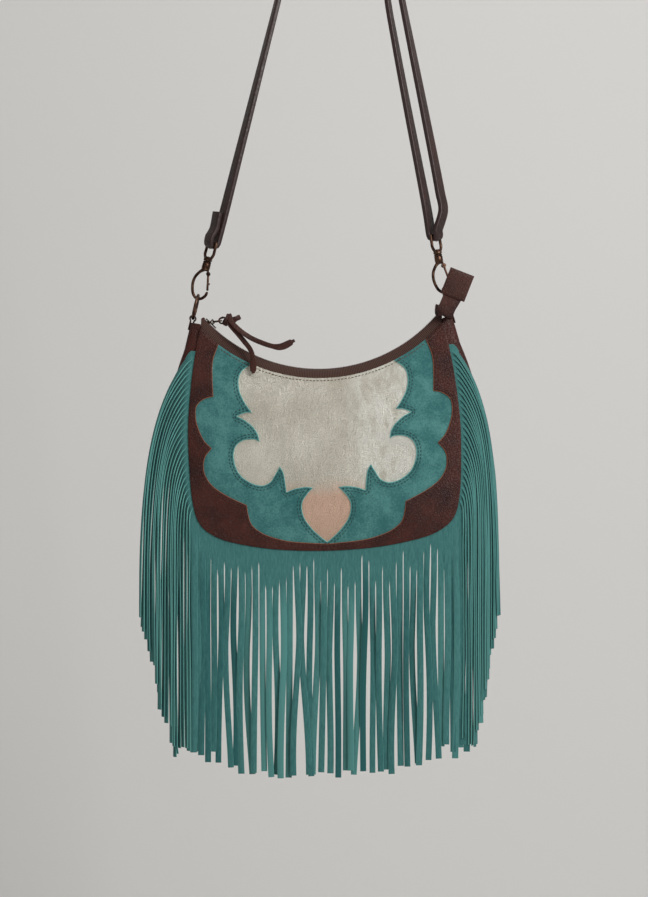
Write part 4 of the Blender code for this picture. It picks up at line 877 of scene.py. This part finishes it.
# Zip
# Woven brown tapes sewn behind the rim, closed rows of coil teeth, end stops, slider and its ring.
ZIP_ARC = TOP_ARC - 0.0090
ZIP_ANGLE = math.asin(CORNER_U / TOP_ARC) + 0.0062 / ZIP_ARC
TAPE, TEETH_HALF_WIDTH, SLIDER_WIDTH = 0.0008, 0.0030, 0.0094
tape_cloth = Surface("zip_tape_cloth", Roughness=0.8, Sheen_Weight=0.1)
RIB = 0.0016
arc_turns = tape_cloth.attribute("arc") * (2 * math.pi / RIB)
ribs = arc_turns.math("SINE", arc_turns, 0.0) * 0.5 + 0.5
tape_colour = tape_cloth.mix(ribs * 0.7 + tape_cloth.noise(900) * 0.3, srgb(36, 19, 15), srgb(92, 60, 48))
tape_cloth = tape_cloth.finish(tape_colour, None, ribs, 0.0005)
ZIP_STEPS = 96
for name, way, face, layers in (("front", -1, front_face, 3), ("back", 1, back_face, 1)):
    rings, arcs = [], []
    for k in range(ZIP_STEPS + 1):
        angle = ZIP_ANGLE * (2 * k / ZIP_STEPS - 1)
        low, edge = TOP_ARC + 0.006, TOP_ARC + 0.0012
        near, bend = way * (TEETH_HALF_WIDTH - 0.0006), way * (SLIDER_WIDTH / 2 + 0.0008)
        open_share = min(1.0, (ZIP_ANGLE - abs(angle)) / math.radians(5))
        sewn = [face(*on_arc(r, angle)) - way * layers * (LEATHER + SEAT) for r in (edge, low)]
        sag = (sewn[0] + (bend - sewn[0]) * 0.45, (edge + ZIP_ARC) / 2 - 0.0008)
        wide = [(near, ZIP_ARC), (bend, ZIP_ARC), sag, (sewn[0], edge), (sewn[1], low)]
        tight = [(near, ZIP_ARC), (bend, ZIP_ARC), (bend, ZIP_ARC + 0.0004), (bend, ZIP_ARC + 0.0008),
                 (bend, ZIP_ARC + 0.0020)]
        line = [Vector(t).lerp(Vector(w), open_share) for t, w in zip(tight, wide)]
        ring = []
        for side in (-1, 1):
            row = []
            for n, p in enumerate(line):
                along = direction(line, n)
                q = p + left_of(along) * side * TAPE / 2
                row.append(bag(*on_arc(q.y, angle), q.x))
            ring += row if side < 0 else row[::-1]
        rings.append(ring)
        arcs += [angle * ZIP_ARC + 1.0] * len(ring)
    make("zip_tape_cloth_" + name, loft(rings), tape_cloth, "bag", ["zip_tape_" + name], arc=arcs)

coil = Surface("zip_coil", Specular_IOR_Level=0.5)
coil = coil.finish(coil.mix(coil.noise(900), srgb(40, 24, 20), srgb(92, 66, 52)), 0.38)
COIL_BEAD, COIL_PITCH = (0.00085, 0.0028, 0.0023), 0.00115
reach = ZIP_ANGLE - 0.003 / ZIP_ARC
for name, way in (("front", -1), ("back", 1)):
    row = []
    for k in range(241):
        p = on_arc(ZIP_ARC, -reach + 2 * reach * k / 240)
        inward = (Vector((0, ARC_V)) - p).normalized()
        row.append((bag(p.x, p.y, way * 0.0013), bag(inward.x, inward.y) - bag(0, 0)))
    beads("coil_teeth_" + name, [row], COIL_BEAD, COIL_PITCH, coil, "bag", ["zip_teeth_" + name])
rows = []
for way in (-1, 1):
    row = []
    for k in range(161):
        angle = math.radians(43) * (2 * k / 160 - 1)
        p = on_arc(ZIP_ARC, angle)
        row.append((bag(p.x, p.y, way * 0.0046) + Vector((0, 0, 0.0004)), Vector((0, 0, 1))))
    rows.append(row)
beads("tape_stitches", rows, (0.0020, 0.0005, 0.0004), 0.0028, thread_dark, "bag")

PULL_PIVOT = Vector((-0.1304, 0, -0.52401))
PULL_RING, PULL_WIRE = 0.0046, 0.0007
lift = math.radians(8)
way = Vector((math.cos(lift), 0, math.sin(lift)))
centre = PULL_PIVOT + way * PULL_RING
ring = [centre + PULL_RING * (math.cos(a) * way + math.sin(a) * BACK) for a in around(40)]
make("slider_ring", tube(ring, PULL_WIRE, 10, loop=True), metal, "zip_pull", ["pull_ring"])

# Thong
# A strip of brown leather through the slider's ring, knotted, with two tails that lie over the front.
thong_leather = leather("thong_leather", srgb(44, 22, 19), srgb(76, 43, 35), 1300, rub=srgb(104, 66, 54))
far = centre + way * PULL_RING
knot = far + Vector((0.0085, -0.0065, 0.0005))
up = Vector((-math.sin(lift), 0, math.cos(lift)))
angles = [math.radians(d) for d in range(0, 181, 15)]
turn = [far + 0.0027 * (math.sin(a) * -way + math.cos(a) * up) for a in angles]
loop = [knot + up * 0.001, turn[0].lerp(knot, 0.3) + up * 0.0012] + turn
loop += [turn[-1].lerp(knot, 0.3) - up * 0.0012, knot - up * 0.001]
thong_section = rounded(0.0050, 0.0016, 0.0006, 2)
parts = [strip(loop, [BACK] * len(loop), thong_section)]
WRAPS = (
    (25, (0.0052, 0.0034), (-0.0030, 0.0)),
    (-20, (0.0060, 0.0038), (0.0012, -0.0006)),
    (65, (0.0055, 0.0036), (0.0046, 0.0004)),
)
for tilt, size, shift in WRAPS:
    turn_by = Matrix.Rotation(math.radians(tilt), 3, "Y") @ Matrix.Rotation(math.radians(12), 3, "Z")
    wrap, ways = [], []
    for k in range(21):
        a = 2 * math.pi * k / 20
        wrap.append(knot + Vector((shift[0], 0, shift[1]))
                    + turn_by @ Vector((0.0006 * math.sin(a * 2), size[1] * math.cos(a),
                                        size[0] * math.sin(a))))
        ways.append(turn_by @ Vector((1, 0, 0)))
    wrap_section = rounded(0.0048, 0.0020, 0.0009, 2)
    verts, faces = strip(wrap[:-1], ways[:-1], wrap_section)
    sides = len(wrap_section)
    last = len(verts) - sides
    faces = [f for f in faces if len(f) == 4]
    faces += [(last + k, last + (k + 1) % sides, (k + 1) % sides, k) for k in range(sides)]
    parts.append((verts, faces))
TAILS = [
    [(-0.1100, -0.0185, -0.5260), (-0.0990, -0.0205, -0.5360), (-0.0850, -0.0210, -0.5440),
     (-0.0640, -0.0215, -0.5500), (-0.0480, -0.0225, -0.5435)],
    [(-0.1120, -0.0165, -0.5280), (-0.1000, -0.0175, -0.5420), (-0.0905, -0.0185, -0.5560),
     (-0.0890, -0.0190, -0.5760)],
]
TAIL_FLARE, TAIL_END = 0.72, 0.97


def tail_section(share):
    """The thong's section along a tail: it widens near the end, and the end itself is drawn in."""
    wide = 0.0050
    if share >= TAIL_FLARE:
        wide += 0.0022 * math.sin((share - TAIL_FLARE) / (1 - TAIL_FLARE) * math.pi)
    return rounded(max(0.0016, wide * (1 if share < TAIL_END else 0.6)), 0.0015, 0.0006, 2)


for number, tail in enumerate(TAILS):
    leaves = knot + Vector((0, -0.0008, (0.5 - number) * 0.004))
    points = smooth([leaves] + tail, 0.0012)
    ways = []
    for k, p in enumerate(points):
        along = direction(points, k)
        twist = math.sin(k * 0.09 + number) * 0.35
        ways.append(along.cross(BACK) * math.cos(twist) + BACK * math.sin(twist))
    parts.append(strip(points, ways, tail_section))
make("thong", join(*parts), thong_leather, "zip_pull", ["pull_thong"])

# Rings and their tabs
# Round rings of 3 mm wire, each in a folded leather loop sewn over the end of the side wall.
RING_RADIUS = 0.012
for side in ("left", "right"):
    ring_low, ring_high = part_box(side + "_ring")
    centre = (Vector(ring_low) + Vector(ring_high)) / 2
    down = centre - HANG[side]
    down = Vector((down.x, 0, down.z)).normalized()
    ring = [centre + RING_RADIUS * (math.cos(a) * down + math.sin(a) * BACK) for a in around(64)]
    make(side + "_round_ring", tube(ring, WIRE * 0.96, 14, loop=True), metal, "bag", [side + "_ring"])

    seat = centre + down * RING_RADIUS
    across = down.cross(BACK)
    inner, wall, grip, leg, wide = 0.0022, 0.0013, 0.0010, 0.0120, 0.0100
    rings = []
    arc = [math.radians(a) for a in range(-50, 231, 10)]
    for depth in [wide * (k / 8 - 0.5) for k in range(9)]:
        ease = 0.0005 * (abs(depth) > wide * 0.49)
        rim = [((inner + wall - ease) * math.cos(a), (inner + wall - ease) * math.sin(a)) for a in arc]
        hole = [((inner + ease) * math.cos(a), (inner + ease) * math.sin(a)) for a in arc]
        out, near = grip + wall - ease, grip + ease
        profile = rim + [(-out, -inner - wall), (-out, -leg), (-near, -leg), (-near, -inner - wall)]
        profile += hole[::-1] + [(near, -inner - wall), (near, -leg), (out, -leg), (out, -inner - wall)]
        rings.append([seat + across * x - down * y + BACK * depth for x, y in profile])
    make(side + "_loop", loft(rings), thong_leather, "bag", [side + "_ring_tab"])

# Zip tail and end tab
# A strip of brown leather runs on from the zip, in front of the right ring, into a folded square tab.
ZIP_TAIL = [(0.1208, 0.2394, -0.0026, 40, 0.009), (0.1190, 0.2398, -0.0080, 78, 0.010),
            (0.1184, 0.2370, -0.0120, 90, 0.011), (0.1190, 0.2322, -0.0148, 90, 0.013),
            (0.1208, 0.2298, -0.0166, 90, 0.015), (0.1222, 0.2318, -0.0184, 90, 0.017),
            (0.1256, 0.2390, -0.0190, 90, 0.017), (0.1318, 0.2510, -0.0190, 90, 0.019),
            (0.1402, 0.2708, -0.0190, 90, 0.020)]
p = on_arc(ZIP_ARC, ZIP_ANGLE)
tangent = bag(math.cos(ZIP_ANGLE), math.sin(ZIP_ANGLE)) - bag(0, 0)
points = [bag(p.x, p.y) + tangent * d for d in (0.0003, 0.0035)]
points += [bag(u, v, w) for u, v, w, _, _ in ZIP_TAIL]
along = (points[-1] - points[-2]).normalized()
side = along.cross(BACK)
turns = [0, 0] + [math.radians(t) for *_, t, _ in ZIP_TAIL]
widths = [0.009, 0.009] + [w for *_, w in ZIP_TAIL]
stations = [Vector((*p, t * 0.01, w)) for p, t, w in zip(points, turns, widths)]
fine = smooth([tuple(s) for s in stations], 0.0009)
rings_ways = [BACK * math.cos(s[3] * 100) + side * math.sin(s[3] * 100) for s in fine]
places = [Vector(s[:3]) for s in fine]
rings = []
for k, (p, way) in enumerate(zip(places, rings_ways)):
    ahead = direction(places, k)
    way = square_to(way, ahead)
    up = ahead.cross(way)
    w = fine[k][4]
    shape = [(w * (n / 6 - 0.5), TAPE / 2) for n in range(7)]
    shape += [(w * (0.5 - n / 6), -TAPE / 2) for n in range(7)]
    rings.append([p + way * x + up * y for x, y in shape])
make("zip_tail_leather", loft(rings), thong_leather, "bag", ["zip_tail"])

end = places[-1]
TAB_LENGTH, TAB_WIDTH, TAB_WALL, TAB_LIP, TAB_GAP = 0.027, 0.025, 0.0014, 0.0017, 0.0007
parts = []
for face in (-1, 1):
    cells = 12
    verts, faces = [], []
    for layer in (0, 1):
        for i in range(cells + 1):
            for j in range(cells + 1):
                s = TAB_LIP - TAB_LENGTH * i / cells
                t = TAB_WIDTH * (j / cells - 0.5)
                puff = 0.0011 * (1 - (2 * i / cells - 1) ** 4) * (1 - (2 * j / cells - 1) ** 4)
                y = face * (TAB_GAP + layer * (TAB_WALL * 0.75 + puff))
                if layer and (i in (0, cells) or j in (0, cells)):
                    y = face * (TAB_GAP + TAB_WALL * 0.55)
                verts.append(end + along * s + BACK * y + side * t)
    n = (cells + 1) ** 2
    for i in range(cells):
        for j in range(cells):
            a = i * (cells + 1) + j
            quad = (a, a + 1, a + cells + 2, a + cells + 1)
            faces += [quad, tuple(reversed([k + n for k in quad]))]
    rim = [j for j in range(cells + 1)] + [i * (cells + 1) + cells for i in range(1, cells + 1)]
    rim += [cells * (cells + 1) + j for j in range(cells - 1, -1, -1)]
    rim += [i * (cells + 1) for i in range(cells - 1, 0, -1)]
    faces += [(a, b, b + n, a + n) for a, b in zip(rim, rim[1:] + rim[:1])]
    parts.append((verts, faces))
FOLD = ((0.0003, -0.0016), (0.0017, -0.0012), (0.0021, 0), (0.0017, 0.0012), (0.0003, 0.0016))
fold = []
for t in (-0.5, -0.25, 0, 0.25, 0.5):
    fold.append([end + along * s + BACK * y + side * t * TAB_WIDTH for s, y in FOLD])
parts.append(loft(fold))
make("end_tab", join(*parts), thong_leather, "bag", ["zip_end_tab"])
rows = []
for face in (-1, 1):
    inset_by = 0.0022
    near, far = TAB_LIP - inset_by, TAB_LIP - TAB_LENGTH + inset_by
    corners = [(near, -1), (near, 1), (far, 1), (far, -1), (near, -1)]
    for (s0, t0), (s1, t1) in zip(corners, corners[1:]):
        row = []
        for k in range(11):
            s = s0 + (s1 - s0) * k / 10
            t = (t0 + (t1 - t0) * k / 10) * (TAB_WIDTH / 2 - inset_by)
            row.append((end + along * s + side * t + BACK * face * 0.00235, BACK * face))
        rows.append(row)
beads("tab_stitches", rows, (0.0026, 0.0007, 0.0006), 0.0034, thread_dark, "bag")

# Fringe
# One strip of suede under the seam, slit into strands that fall straight, turn edge on at the sides
# and differ a little in length, twist and shade.
STRAND_PITCH, SLIT, FRINGE_TOP_GAP = 0.0068, 0.0006, 0.019
STRAND_CUT = [(0.0, 0.222), (0.112, 0.224), (0.150, 0.248), (0.185, 0.298), (0.320, 0.300)]
HANG_CORNER, HANG_EASE = 0.112, 0.025
HANG_PITCH = {-1: 0.0020, 1: 0.0013}
TURN_LIMIT = math.radians(72)
ROOT_ROWS = (-0.0022, 0.0004, 0.0030)
STRAND_STEPS = 44
SHAPE_POINTS = 10
fine = seam(0.002)
lengths = [0.0]
for a, b in zip(fine, fine[1:]):
    lengths.append(lengths[-1] + (b - a).length)
middle = lengths[-1] / 2
half_count = int((middle - FRINGE_TOP_GAP) / STRAND_PITCH)
walk = []
for j in range(-half_count, half_count + 1):
    want = middle + j * STRAND_PITCH
    k = next(k for k, s in enumerate(lengths) if s >= want)
    share = (want - lengths[k - 1]) / (lengths[k] - lengths[k - 1])
    along = (fine[min(k + 2, len(fine) - 1)] - fine[max(k - 3, 0)]).normalized()
    walk.append((fine[k - 1].lerp(fine[k], share), -left_of(along), j * STRAND_PITCH))


def hang_offset(distance):
    """How far from the bag's centre a strand hangs, by its root's distance along the seam."""
    side = 1 if distance > 0 else -1
    past = abs(distance) - HANG_CORNER
    if past <= 0:
        return distance
    closing = HANG_PITCH[side] / STRAND_PITCH
    eased = (1 - math.exp(-past / HANG_EASE)) * HANG_EASE * (1 - closing)
    return side * (HANG_CORNER + eased + past * closing)


seeded = random.Random(4)
drift = random.Random(11)
slit_starts = [drift.uniform(0.003, 0.034) for _ in walk]
strands = []
for i, (left, right) in enumerate(zip(walk, walk[1:])):
    distance = (left[2] + right[2]) / 2
    side = 1 if distance > 0 else -1
    root = (left[0] + right[0]) / 2
    out = (left[1] + right[1]).normalized()
    depth = front_face(root.x, root.y) + LEATHER + SEAT + FRINGE_THICK / 2
    places = [bag(root.x + out.x * row, root.y + out.y * row, depth) for row in ROOT_ROWS]
    start = places[-1]
    hang = BAG_X + hang_offset(distance)
    sideways = abs(start.x - hang)
    drop = profile_value(STRAND_CUT, abs(distance)) - 0.003 - 0.6 * sideways + seeded.uniform(-0.004, 0.004)
    if abs(distance) > HANG_CORNER:
        drop -= 0.012 * drift.random()
    ease = 0.006 + 1.05 * sideways
    loose = 0.0031 if abs(distance) < HANG_CORNER else 0.0012
    bunch = 0.0012 * math.sin(distance * 114) * min(1.0, max(0.0, abs(distance) - HANG_CORNER) / 0.03)
    sway, lean = drift.uniform(-1, 1) * loose, drift.uniform(-1, 1) * loose * 1.3
    phase = drift.uniform(0, 6.28)
    held = max(slit_starts[i], slit_starts[i + 1])
    for k in range(1, STRAND_STEPS + 1):
        fall = drop * (k / STRAND_STEPS) ** 1.35
        free = max(0.0, fall - held) / drop
        x = hang + (start.x - hang) * math.exp(-fall / ease)
        x += sway * math.sin(phase + free * 5) * min(1, free * 3)
        x += bunch * min(1.0, fall / 0.05)
        z = start.z - fall
        v = max(0.0, (z - BAG_Z) / math.cos(TILT))
        w = -seam_depth(v, FRONT_BOTTOM_DEPTH) + LEATHER + SEAT + FRINGE_THICK / 2
        w = depth + (w - depth) * min(1.0, fall / 0.02) + (i % 2 - 0.5) * loose * 0.7 * min(1.0, free * 8)
        w += loose * 0.5 * math.cos(phase * 1.7 + free * 4) * min(1.0, free * 3)
        places.append(Vector((x + lean * free * free, w, z)))
    wide_way = (bag(right[0].x, right[0].y) - bag(left[0].x, left[0].y)).normalized()
    strands.append((places, wide_way, distance, side, drop, sideways, phase))
parts, shades, edges, areas = [], [], [], []
for i, (places, wide_way, distance, side, drop, sideways, phase) in enumerate(strands):
    next_places = strands[i - side][0] if 0 <= i - side < len(strands) else places
    twist = drift.uniform(-1, 1) * (0.3 if abs(distance) < HANG_CORNER else 0.15)
    own_shade = min(1.0, max(0.0, drift.gauss(0.5, 0.22)))
    thin = drift.uniform(-0.0002, 0.0004)
    rings = []
    for k, place in enumerate(places):
        along = direction(places, k)
        in_plane = Vector((-along.z, 0, along.x)).normalized()
        gap = min(abs((q - place).dot(in_plane)) for q in next_places[max(0, k - 9):k + 10])
        near = min(math.hypot(q.x - place.x, q.z - place.z) for q in next_places[max(0, k - 12):k + 13])
        fall = places[2].z - place.z
        free_left = max(0.0, fall - slit_starts[i])
        free_right = max(0.0, fall - slit_starts[i + 1])
        free = min(free_left, free_right)
        turn = min(TURN_LIMIT, math.acos(min(1.0, near / STRAND_PITCH))) if sideways > 0.002 else 0.0
        spin = turn * min(1.0, max(0.0, fall) / 0.008)
        spin += twist * math.sin(phase + free * 14) * min(1, free * 9)
        flat = in_plane * math.cos(spin) + BACK * side * math.sin(spin)
        ease_in = min(1.0, max(0.0, k - 1) / 3)
        root_way = wide_way if wide_way.dot(in_plane) > 0 else -wide_way
        way = square_to(root_way.lerp(flat, ease_in).normalized(), along)
        through = along.cross(way)
        trims = [(SLIT + thin) / 2 * min(1.0, f / 0.004) for f in (free_left, free_right)]
        a, c = -STRAND_PITCH / 2 + trims[0], STRAND_PITCH / 2 - trims[1]
        d = FRINGE_THICK / 2
        soft = 0.45 * min(1.0, free / 0.004)
        shape = [(a, -d * (1 - soft)), (a + 0.0004, -d), (a + (c - a) * 0.5, -d), (c - 0.0004, -d),
                 (c, -d * (1 - soft)), (c, d * (1 - soft)), (c - 0.0004, d), (a + (c - a) * 0.5, d),
                 (a + 0.0004, d), (a, d * (1 - soft))]
        rings.append([place + way * x + through * y for x, y in shape])
        shades += [0.5 + (own_shade - 0.5) * min(1.0, free / 0.04)] * SHAPE_POINTS
        bare = [min(1.0, f / 0.003) if sideways < 0.002 else 1.0 for f in (free_left, free_right)]
        edges += [bare[0], 0.0, 0.0, 0.0, bare[1], bare[1], 0.0, 0.0, 0.0, bare[0]]
    parts.append(loft(rings))
    areas.append(STRAND_PITCH * (drop + ROOT_ROWS[-1] - ROOT_ROWS[0] + 0.6 * sideways))
fringe_suede = Surface("fringe_suede", Sheen_Weight=0.3, Sheen_Roughness=0.45, Roughness=0.93,
                       Specular_IOR_Level=0.15)
fringe_suede.shader.inputs["Sheen Tint"].default_value = srgb(150, 200, 196)
s = fringe_suede
nap = s.noise(1.0, 4.0, 0.62, where=s.stretched((600, 600, 120)))
fibre = s.noise(1700, 4.0, 0.7)
tone = s.attribute("shade") * 0.45 + nap * 0.3 + fibre * 0.25
colour = s.mix(s.step(tone, 0.3, 0.7), srgb(46, 92, 92), srgb(84, 136, 132))
colour = s.mix(s.step(s.attribute("cut"), 0.3, 1.0) * 0.6, colour, srgb(112, 176, 168))
fringe_suede = s.finish(colour, None, fibre + nap * 0.5, 0.00025)
part = join(*parts)
fringe = make("suede_fringe", part, fringe_suede, "bag", ["fringe"], shade=shades, cut=edges)

# Floor, wall, lights and camera
# A pale floor and wall, a large soft light from the upper right and a camera square to the bag.
pale = Surface("pale_ground", Roughness=0.9)
behind = pale.place.node("ShaderNodeNewGeometry", "Backfacing", {})
pale = pale.finish(pale.mix(pale.noise(0.8, 2.0), (0.80, 0.79, 0.77, 1), (0.84, 0.83, 0.81, 1)), 0.9,
                   Alpha=1.0 - behind)
for name, corners in (("floor", ((-3, -3, -1.6), (3, -3, -1.6), (3, 1.2, -1.6), (-3, 1.2, -1.6))),
                      ("wall", ((-3, 1.2, -1.6), (3, 1.2, -1.6), (3, 1.2, 2.0), (-3, 1.2, 2.0)))):
    mesh = bpy.data.meshes.new(name)
    mesh.from_pydata(corners, [], [(0, 1, 2, 3)])
    mesh.materials.append(pale)
    obj = bpy.data.objects.new(name, mesh)
    bpy.context.scene.collection.objects.link(obj)
AIM = Vector((-0.019, 0, -0.6505))
for name, place, size, power in (("key", (1.4, -1.8, 0.5), 1.1, 44), ("fill", (-1.8, -1.9, -0.4), 1.8, 3),
                                 ("top", (0.2, -0.6, 1.4), 1.2, 10)):
    light = bpy.data.lights.new(name, "AREA")
    light.energy, light.size = power, size
    lamp = bpy.data.objects.new(name, light)
    lamp.location = place
    lamp.rotation_euler = (AIM - Vector(place)).to_track_quat("-Z", "Y").to_euler()
    bpy.context.scene.collection.objects.link(lamp)
world = bpy.data.worlds.new("soft")
world.use_nodes = True
world.node_tree.nodes["Background"].inputs[0].default_value = (0.95, 0.93, 0.91, 1)
world.node_tree.nodes["Background"].inputs[1].default_value = 0.24
bpy.context.scene.world = world
bpy.context.scene.view_settings.view_transform = "Standard"
camera = bpy.data.cameras.new("camera")
SENSOR, DISTANCE, VIEW_HEIGHT = 36, 2.2, 0.897
camera.sensor_width, camera.sensor_fit = SENSOR, "AUTO"
camera.lens = SENSOR * DISTANCE / VIEW_HEIGHT
camera.clip_end = 20
eye = bpy.data.objects.new("camera", camera)
eye.location = AIM + Vector((0, -DISTANCE, 0))
eye.rotation_euler = (math.pi / 2, 0, 0)
bpy.context.scene.collection.objects.link(eye)
bpy.context.scene.camera = eye
